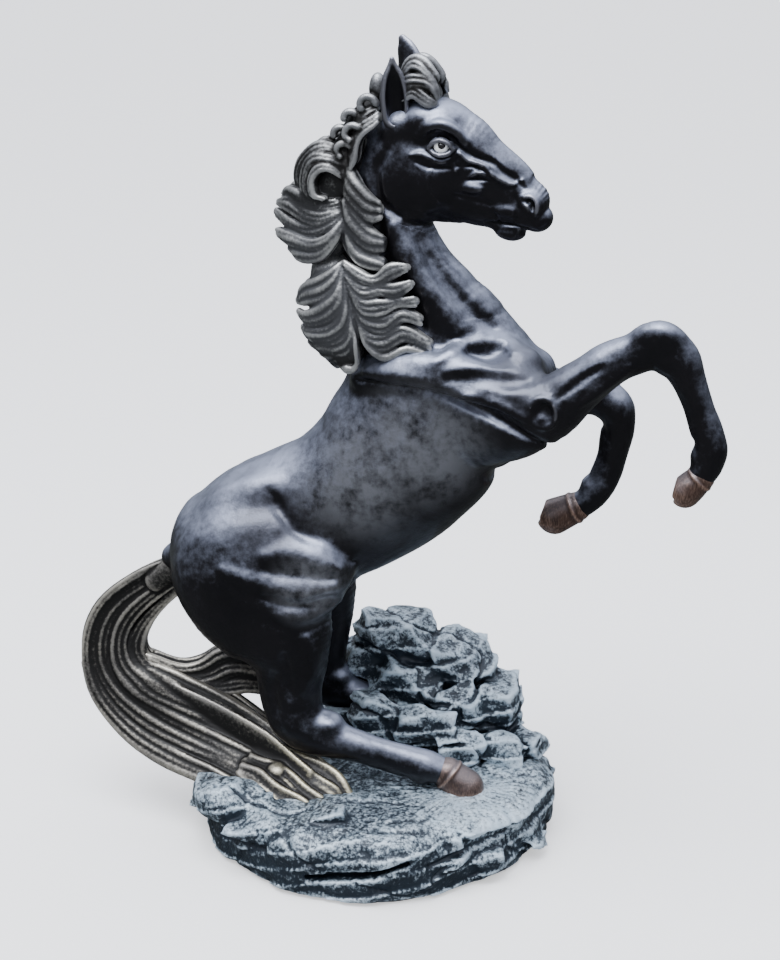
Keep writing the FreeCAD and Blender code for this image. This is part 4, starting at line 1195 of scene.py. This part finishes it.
# ------------------------------------------------------------------ finishes
class Recipe:
    """Short ways to wire up one material. Places are in the statue's space and sizes are in mm."""

    def __init__(self, name):
        self.material = bpy.data.materials.new(name)
        self.material.use_nodes = True
        self.tree = self.material.node_tree
        self.shader = self.tree.nodes["Principled BSDF"]
        self.place = self.node("ShaderNodeTexCoord").outputs["Object"]

    def put(self, socket, value):
        if isinstance(value, bpy.types.NodeSocket):
            self.tree.links.new(value, socket)
        elif isinstance(value, tuple) and len(value) == 3 and socket.type == "RGBA":
            socket.default_value = (*value, 1)
        else:
            socket.default_value = value

    def node(self, kind, inputs=None, **settings):
        made = self.tree.nodes.new(kind)
        for key, value in settings.items():
            setattr(made, key, value)
        for key, value in (inputs or {}).items():
            self.put(made.inputs[key], value)
        return made

    def noise(self, size, detail, rough=0.55, stretch=None):
        """Noise with lumps of about this size; stretch scales the three directions."""
        place = self.place
        if stretch:
            place = self.node("ShaderNodeMapping", {"Vector": place, "Scale": stretch}).outputs["Vector"]
        return self.node("ShaderNodeTexNoise", {"Vector": place, "Scale": 1.0 / (size * MM), "Detail": detail,
                                                "Roughness": rough}).outputs["Fac"]

    def mark(self, name):
        """A mark that the carving left on each point: edge or rise."""
        return self.node("ShaderNodeAttribute", attribute_name=name).outputs["Fac"]

    def maths(self, operation, a, b):
        return self.node("ShaderNodeMath", {0: a, 1: b}, operation=operation).outputs[0]

    def times(self, a, b):
        return self.maths("MULTIPLY", a, b)

    def plus(self, value, other, share):
        """The value with a share of another added."""
        return self.maths("ADD", value, self.times(other, share))

    def vary(self, value, other, share):
        """The value moved up and down by a share of another that runs from 0 to 1."""
        return self.plus(value, self.maths("SUBTRACT", other, 0.5), share)

    def spread(self, value, low, high, to_low=0.0, to_high=1.0):
        """An eased step: to_low where the value is at low, to_high where it is at high."""
        made = self.node("ShaderNodeMapRange", {"Value": value, "From Min": low, "From Max": high,
                                                "To Min": to_low, "To Max": to_high},
                         interpolation_type="SMOOTHSTEP")
        return made.outputs["Result"]

    def mix(self, share, a, b):
        made = self.node("ShaderNodeMix", data_type="RGBA")
        for socket, value in zip((made.inputs[0], made.inputs[6], made.inputs[7]), (share, a, b)):
            self.put(socket, value)
        return made.outputs[2]

    def part(self, vector, axis):
        return self.node("ShaderNodeSeparateXYZ", {0: vector}).outputs[axis]

    def between(self, axis, low, high):
        """An eased step along an axis, from 0 at low to 1 at high."""
        return self.spread(self.part(self.place, axis), low * MM, high * MM)

    def near(self, x, y, z, inner, outer):
        """1 close to a point of the statue, fading to 0 at the outer distance."""
        middle = (x * MM, y * MM, z * MM)
        apart = self.node("ShaderNodeVectorMath", {0: self.place, 1: middle}, operation="DISTANCE")
        return self.spread(apart.outputs["Value"], outer * MM, inner * MM)

    def upward(self):
        """How much the surface faces the sky, from -1 to 1."""
        return self.part(self.node("ShaderNodeNewGeometry").outputs["Normal"], "Z")

    def bump(self, height, depth, strength):
        made = self.node("ShaderNodeBump", {"Height": height, "Strength": strength, "Distance": depth * MM})
        self.put(self.shader.inputs["Normal"], made.outputs["Normal"])

    def finish(self, colour, rough, metal=0.0, coat=0.0, coat_rough=0.1):
        for key, value in (("Base Color", colour), ("Roughness", rough), ("Metallic", metal),
                           ("Coat Weight", coat), ("Coat Roughness", coat_rough)):
            self.put(self.shader.inputs[key], value)
        return self.material


def bronze_skin():
    """Nearly black patina; a painted lavender sky reflection where the surface faces up, broken by the
    hammered surface.
    """
    r = Recipe("bronze_skin")
    mottle = r.noise(5.5, 4, 0.65)
    cloud = r.noise(42, 3)
    # painted sky reflection: a lavender sheen wherever the surface faces up, broken by mottle and cloud
    painted_sky_sheen = r.spread(r.vary(r.vary(r.upward(), mottle, 0.8), cloud, 0.45), 0.0, 1.0)
    # painted shade: less of the painted sky sheen on the shelf of the haunch and the point of the shoulder
    for shaded in (r.near(-66, -50, 250, 12, 42), r.near(114, -50, 366, 14, 48)):
        painted_sky_sheen = r.times(painted_sky_sheen, r.maths("SUBTRACT", 1.0, r.times(shaded, 0.72)))
    # painted sheen: a grey reflection painted over the barrel and the stifle, in patches
    painted_barrel_sheen = r.maths("MAXIMUM", r.near(-5, -50, 285, 14, 62), r.near(42, -48, 312, 14, 62))
    painted_barrel_sheen = r.maths("MAXIMUM", painted_barrel_sheen, r.near(-35, -58, 205, 6, 36))
    patchy = r.plus(r.times(mottle, 0.35), r.noise(16, 2), 0.5)
    painted_barrel_sheen = r.times(painted_barrel_sheen, r.spread(patchy, 0.22, 0.52))
    dark = r.mix(painted_barrel_sheen, r.mix(cloud, (0.006, 0.006, 0.008), (0.024, 0.021, 0.025)), (0.24, 0.245, 0.27))
    colour = r.mix(painted_sky_sheen, dark, (0.33, 0.36, 0.46))
    rubbed = r.spread(r.mark("edge"), 0.56, 0.70)
    colour = r.mix(r.times(rubbed, 0.55), colour, (0.34, 0.34, 0.38))
    # painted shade: recesses, where the edge mark is low, are taken almost to black
    hidden = r.spread(r.mark("edge"), 0.47, 0.36)
    colour = r.mix(r.times(hidden, 0.9), colour, (0.006, 0.006, 0.007))
    r.bump(r.plus(r.noise(7, 5, 0.65), r.noise(1.6, 2), 0.15), 1.1, 0.4)
    return r.finish(colour, r.plus(0.28, mottle, 0.22), 0.75, 0.2, 0.15)


def bronze_hair():
    """Dark between the strands, brass and silver-grey rubbed through on them, golden at the tail's end."""
    r = Recipe("bronze_hair")
    fleck = r.noise(2.2, 3, 0.6)
    cloud = r.noise(26, 2)
    low = r.between("Z", 300, 160)
    ridge = r.mix(low, (0.50, 0.50, 0.48), (0.56, 0.52, 0.44))
    ridge = r.mix(r.times(r.between("Z", 490, 550), 0.55), ridge, (0.17, 0.18, 0.21))
    ridge = r.mix(r.times(r.between("X", -85, -45), low), ridge, (0.56, 0.51, 0.36))
    ridge = r.mix(r.times(r.spread(cloud, 0.4, 0.65), 0.5), ridge, (0.12, 0.12, 0.13))
    bunch = r.times(r.between("Z", 360, 385), r.between("Z", 500, 430))
    deep = r.mix(bunch, (0.016, 0.015, 0.014), (0.075, 0.076, 0.08))
    # faces that point up take a little more of the pale ridge colour: a painted sky highlight on top of the
    # rubbed ridges
    height = r.plus(r.vary(r.mark("edge"), fleck, 0.14), r.upward(), 0.035)
    r.bump(r.noise(3.0, 3, 0.6, (1, 1, 2.6)), 0.6, 0.4)
    colour = r.mix(r.spread(height, 0.50, 0.66), deep, ridge)
    return r.finish(colour, r.spread(height, 0.44, 0.64, 0.55, 0.33), 0.7, 0.15, 0.2)


def rock_bronze():
    """Blue-black crevices with a pale icy dry-brush over the edges and tops."""
    r = Recipe("rock_bronze")
    grain = r.noise(2.6, 4, 0.7)
    patch = r.noise(20, 3)
    # faces that point up take a little more of the pale colour: a painted sky light on top of the dry-brush
    height = r.plus(r.vary(r.mark("edge"), grain, 0.75), r.upward(), 0.07)
    height = r.vary(r.vary(height, r.mark("rise"), 0.35), patch, 0.22)
    # paler ahead of the near hind hoof, darker towards the foot of the base
    height = r.plus(height, r.near(95, -50, 50, 15, 75), 0.09)
    height = r.maths("SUBTRACT", height, r.spread(r.part(r.place, "Z"), 40 * MM, 12 * MM, 0.0, 0.06))
    brushed = r.spread(height, 0.49, 0.74)
    deep = r.mix(patch, (0.008, 0.011, 0.018), (0.028, 0.044, 0.060))
    pale = r.mix(r.noise(9, 2), (0.34, 0.45, 0.54), (0.72, 0.83, 0.90))
    r.bump(r.plus(grain, r.noise(0.9, 2), 0.3), 1.0, 0.6)
    return r.finish(r.mix(brushed, deep, pale), r.spread(brushed, 0, 1, 0.34, 0.5), 0.35, 0.1, 0.25)


def hoof_bronze():
    """Copper-brown, rubbed at the toe and dark under the coronet."""
    r = Recipe("hoof_bronze")
    streak = r.noise(3.0, 3, 0.6, (3, 3, 0.8))
    colour = r.mix(r.noise(9, 2), (0.026, 0.018, 0.016), (0.12, 0.066, 0.048))
    rubbed = r.spread(r.vary(r.mark("edge"), streak, 0.25), 0.50, 0.70)
    colour = r.mix(rubbed, colour, (0.42, 0.27, 0.20))
    # painted sky sheen: faces that point up are mixed towards pale grey
    colour = r.mix(r.times(r.spread(r.upward(), 0.0, 0.9), 0.35), colour, (0.36, 0.34, 0.36))
    r.bump(streak, 0.5, 0.5)
    return r.finish(colour, r.plus(0.28, streak, 0.25), 0.7, 0.2, 0.15)


def eye_white():
    """White enamel, a little uneven, darker and warmer in the corners where the edge mark is low."""
    r = Recipe("eye_white")
    cloud = r.noise(3, 2)
    colour = r.mix(cloud, (0.84, 0.85, 0.82), (0.70, 0.71, 0.68))
    colour = r.mix(r.spread(r.mark("edge"), 0.58, 0.5), colour, (0.45, 0.43, 0.38))
    r.bump(r.noise(1.5, 2), 0.15, 0.3)
    return r.finish(colour, r.plus(0.16, cloud, 0.15), 0.0, 0.6, 0.05)


def eye_dark():
    """Black enamel with a faint brown cloud."""
    r = Recipe("eye_dark")
    cloud = r.noise(2, 2)
    r.bump(r.noise(1.0, 2), 0.1, 0.2)
    colour = r.mix(cloud, (0.004, 0.004, 0.005), (0.016, 0.013, 0.012))
    return r.finish(colour, r.plus(0.08, cloud, 0.14), 0.0, 1.0, 0.03)


def felt():
    """Dark pressed felt: fibres, lint and a soft nap."""
    r = Recipe("felt")
    lint = r.maths("MAXIMUM", r.noise(0.7, 5, 0.7, (1, 3.5, 1)), r.noise(0.7, 5, 0.7, (3.5, 1, 1)))
    colour = r.mix(r.spread(lint, 0.35, 0.75), (0.022, 0.024, 0.028), (0.085, 0.09, 0.098))
    colour = r.mix(r.times(r.noise(30, 2), 0.4), colour, (0.05, 0.05, 0.052))
    r.bump(lint, 0.4, 0.8)
    r.put(r.shader.inputs["Sheen Weight"], 0.5)
    return r.finish(colour, 0.95)


def steel():
    """Zinc-plated steel with turning marks and dulled patches."""
    r = Recipe("steel")
    patch = r.noise(5, 3)
    colour = r.mix(r.spread(patch, 0.4, 0.7), (0.55, 0.55, 0.56), (0.36, 0.35, 0.34))
    r.bump(r.noise(0.6, 2, 0.5, (0.3, 0.3, 5)), 0.08, 0.5)
    return r.finish(colour, r.plus(0.22, patch, 0.3), 1.0)


FINISH = {make.__name__: make() for make in
          (bronze_skin, bronze_hair, rock_bronze, hoof_bronze, eye_white, eye_dark, felt, steel)}


# ------------------------------------------------------------------ putting the statue together
# piece: a point on the joint, the way out of the torso, a point of the piece
JOINTS = {
    "neck": ((-32, 0, 390), (-0.052, 0, 1), (10, -26, 440)),
    "right_foreleg": ((138, -43, 352), (0.78, -0.1, 0.61), (240, -40, 320)),
    "left_foreleg": ((130, 38, 326), (0.97, 0.1, 0.2), (172, 35, 300)),
    "right_hind_leg": ((0, 0, 148), (0, 0, -1), (50, -37, 60)),
    "left_hind_leg": ((0, 0, 148), (0, 0, -1), (34, 37, 60)),
}
HEAD_JOINT = ((-22, 0, 480), (27, 0, 59), (60, 0, 530))


def make_body():
    """Trunk, neck and legs carved as one and parted at the joints, so that each joint line is tight."""
    clay = Clay((-176, -78, 40), (258, 78, 506), BODY_VOXEL)
    clay.add(Sweep(TRUNK, steps=8))
    carve_neck(clay, 14)
    clay.add(Sweep(NEAR_FORE, steps=4), 9)
    clay.add(Sweep(FAR_FORE, steps=4), 9)
    carve_hind_legs(clay)
    carve_forelegs(clay)
    carve_shoulders(clay)
    carve_haunches(clay)
    carve_chest(clay)
    carve_head(clay)
    hand_worked(clay)
    skin = surface(clay)
    points, quads, _ = skin
    left_over = ~part_off(points, quads, *HEAD_JOINT)
    for name, joint in JOINTS.items():
        taken = part_off(points, quads, *joint) & left_over
        left_over &= ~taken
        show(build(name, skin, taken, bend_head), name, slot="bronze_skin")
    show(build("torso", skin, left_over, bend_head), "torso", slot="bronze_skin")


def make_head():
    """The head again from a finer grid, parted from its stub of neck."""
    clay = Clay((-48, -42, 425), (134, 42, 556), HEAD_VOXEL)
    carve_neck(clay)
    carve_head(clay)
    hand_worked(clay)
    skin = surface(clay)
    taken = part_off(skin[0], skin[1], *HEAD_JOINT)
    show(build("head", skin, taken, bend_head), "head", slot="bronze_skin")


def ball(name, centre, radius, room, voxel, slot):
    """An inset ball of an eye, carved in a box with this much room each way."""
    clay = Clay(centre - room, centre + room, voxel)
    clay.add(Blob(centre, (radius,) * 3))
    show(build(name, surface(clay, fine=3 * voxel), bend=bend_head), name, slot=slot)


def make_eyes():
    """White balls in the sockets, each with a dark pupil inset where it looks."""
    for word, side in (("right", RIGHT), ("left", LEFT)):
        centre = EYE * (1, side, 1)
        gaze = unit((0.30, side * 0.90, 0.32))
        ball(word + "_eye_white", centre, EYE_RADIUS, 9, 0.4, "eye_white")
        ball(word + "_pupil", centre + gaze * (EYE_RADIUS - 2.1), PUPIL_RADIUS, 5, 0.3, "eye_dark")


def make_rest():
    """Ears, hooves, hair, rocks and felt, a form each."""
    for name, side in (("right_ear", RIGHT), ("left_ear", LEFT)):
        show(build(name, surface(carve_ear(side)), bend=bend_head), name, slot="bronze_skin")
    for name, shape in HOOVES.items():
        show(build(name, surface(hoof_clay(*shape))), name, slot="hoof_bronze")
    hair = {"forelock": carve_forelock, "mane_upper": carve_mane_upper, "mane_lower": carve_mane_lower,
            "tail": carve_tail, "tail_side_lock": carve_side_lock}
    for name, carve in hair.items():
        bend = None if name.startswith("tail") else bend_head
        show(build(name, surface(carve(), 1, fine=1.8), bend=bend), name, slot="bronze_hair")
    for name, carve in (("rock_base", carve_base), ("rock_outcrop", carve_outcrop)):
        show(build(name, surface(carve(), 1)), name, slot="rock_bronze")
    show(felt_sheet(), "felt_pad", slot="felt")


def finish_fasteners():
    """The hidden sleeves, dowels, studs, washers and nuts keep their CAD shapes."""
    for node in ("neck_sleeve", "head_sleeve", "foreleg_dowels", "hind_leg_dowels", "tail_dowel",
                 "base_studs", "stud_washers", "stud_nuts"):
        for holder in frame["nodes"][node].material_slots:
            holder.material = FINISH["steel"]


make_body()
make_head()
make_eyes()
make_rest()
finish_fasteners()


# ------------------------------------------------------------------ stage, light and camera
def stage():
    """A pale floor. In the bronze's gloss it shows darker, as ground out of doors would."""
    mesh = bpy.data.meshes.new("floor")
    half = 14.0
    corners = [(-half, -half, 0), (half, -half, 0), (half, half, 0), (-half, half, 0)]
    mesh.from_pydata(corners, [], [(0, 1, 2, 3)])
    floor = bpy.data.objects.new("floor", mesh)
    floor.location.z = CAD_LOW.z - 0.0005
    bpy.context.scene.collection.objects.link(floor)
    r = Recipe("floor_paper")
    path = r.node("ShaderNodeLightPath")
    glossy, eye_ray = path.outputs["Is Glossy Ray"], path.outputs["Is Camera Ray"]
    r.finish(r.mix(glossy, (0.86, 0.86, 0.86), (0.05, 0.055, 0.05)), 0.9)
    r.put(r.shader.inputs["Emission Color"], (1.0, 1.0, 1.0))
    r.put(r.shader.inputs["Emission Strength"], r.times(eye_ray, 0.7))
    floor.data.materials.append(r.material)


def top_light():
    """One large soft lamp, above the statue and a little towards the viewer."""
    data = bpy.data.lights.new("top", "AREA")
    data.shape = "DISK"
    data.size = 1.6
    data.energy = 45
    data.color = (0.92, 0.95, 1.0)
    lamp = bpy.data.objects.new("top", data)
    lamp.location = (-0.3, -0.5, 2.0)
    lamp.rotation_mode = "QUATERNION"
    lamp.rotation_quaternion = (Vector((0, 0, 0.3)) - lamp.location).to_track_quat("-Z", "Y")
    bpy.context.scene.collection.objects.link(lamp)


def world():
    """A white studio to the eye; as light, a bright bluish sky over a dim horizon."""
    w = bpy.data.worlds.new("studio")
    bpy.context.scene.world = w
    w.use_nodes = True
    tree = w.node_tree
    background = tree.nodes["Background"]
    direction = tree.nodes.new("ShaderNodeTexCoord")
    split = tree.nodes.new("ShaderNodeSeparateXYZ")
    tree.links.new(direction.outputs["Generated"], split.inputs[0])
    sky = tree.nodes.new("ShaderNodeValToRGB")
    ramp = sky.color_ramp
    ramp.elements[0].position, ramp.elements[0].color = 0.0, (0.10, 0.11, 0.12, 1)
    ramp.elements[1].position, ramp.elements[1].color = 1.0, (2.4, 2.5, 2.8, 1)
    middle = ramp.elements.new(0.35)
    middle.color = (0.35, 0.37, 0.42, 1)
    tree.links.new(split.outputs["Z"], sky.inputs[0])
    path = tree.nodes.new("ShaderNodeLightPath")
    mix = tree.nodes.new("ShaderNodeMix")
    mix.data_type = "RGBA"
    tree.links.new(path.outputs["Is Camera Ray"], mix.inputs[0])
    tree.links.new(sky.outputs["Color"], mix.inputs[6])
    mix.inputs[7].default_value = (1.6, 1.6, 1.62, 1)
    tree.links.new(mix.outputs[2], background.inputs["Color"])


def camera():
    """From the horse's right, a little above and round towards its front."""
    data = bpy.data.cameras.new("camera")
    cam = bpy.data.objects.new("camera", data)
    bpy.context.scene.collection.objects.link(cam)
    azimuth, elevation = math.radians(VIEW_AZIMUTH), math.radians(VIEW_HEIGHT)
    back = Vector((math.sin(azimuth) * math.cos(elevation), -math.cos(azimuth) * math.cos(elevation),
                   math.sin(elevation)))
    cam.location = Vector(VIEW_TARGET) * MM + back * (VIEW_DISTANCE * MM)
    cam.rotation_mode = "QUATERNION"
    cam.rotation_quaternion = (-back).to_track_quat("-Z", "Y")
    data.sensor_width = SENSOR
    data.lens = LENS
    data.clip_start, data.clip_end = 0.05, 20
    bpy.context.scene.camera = cam


stage()
world()
camera()
top_light()
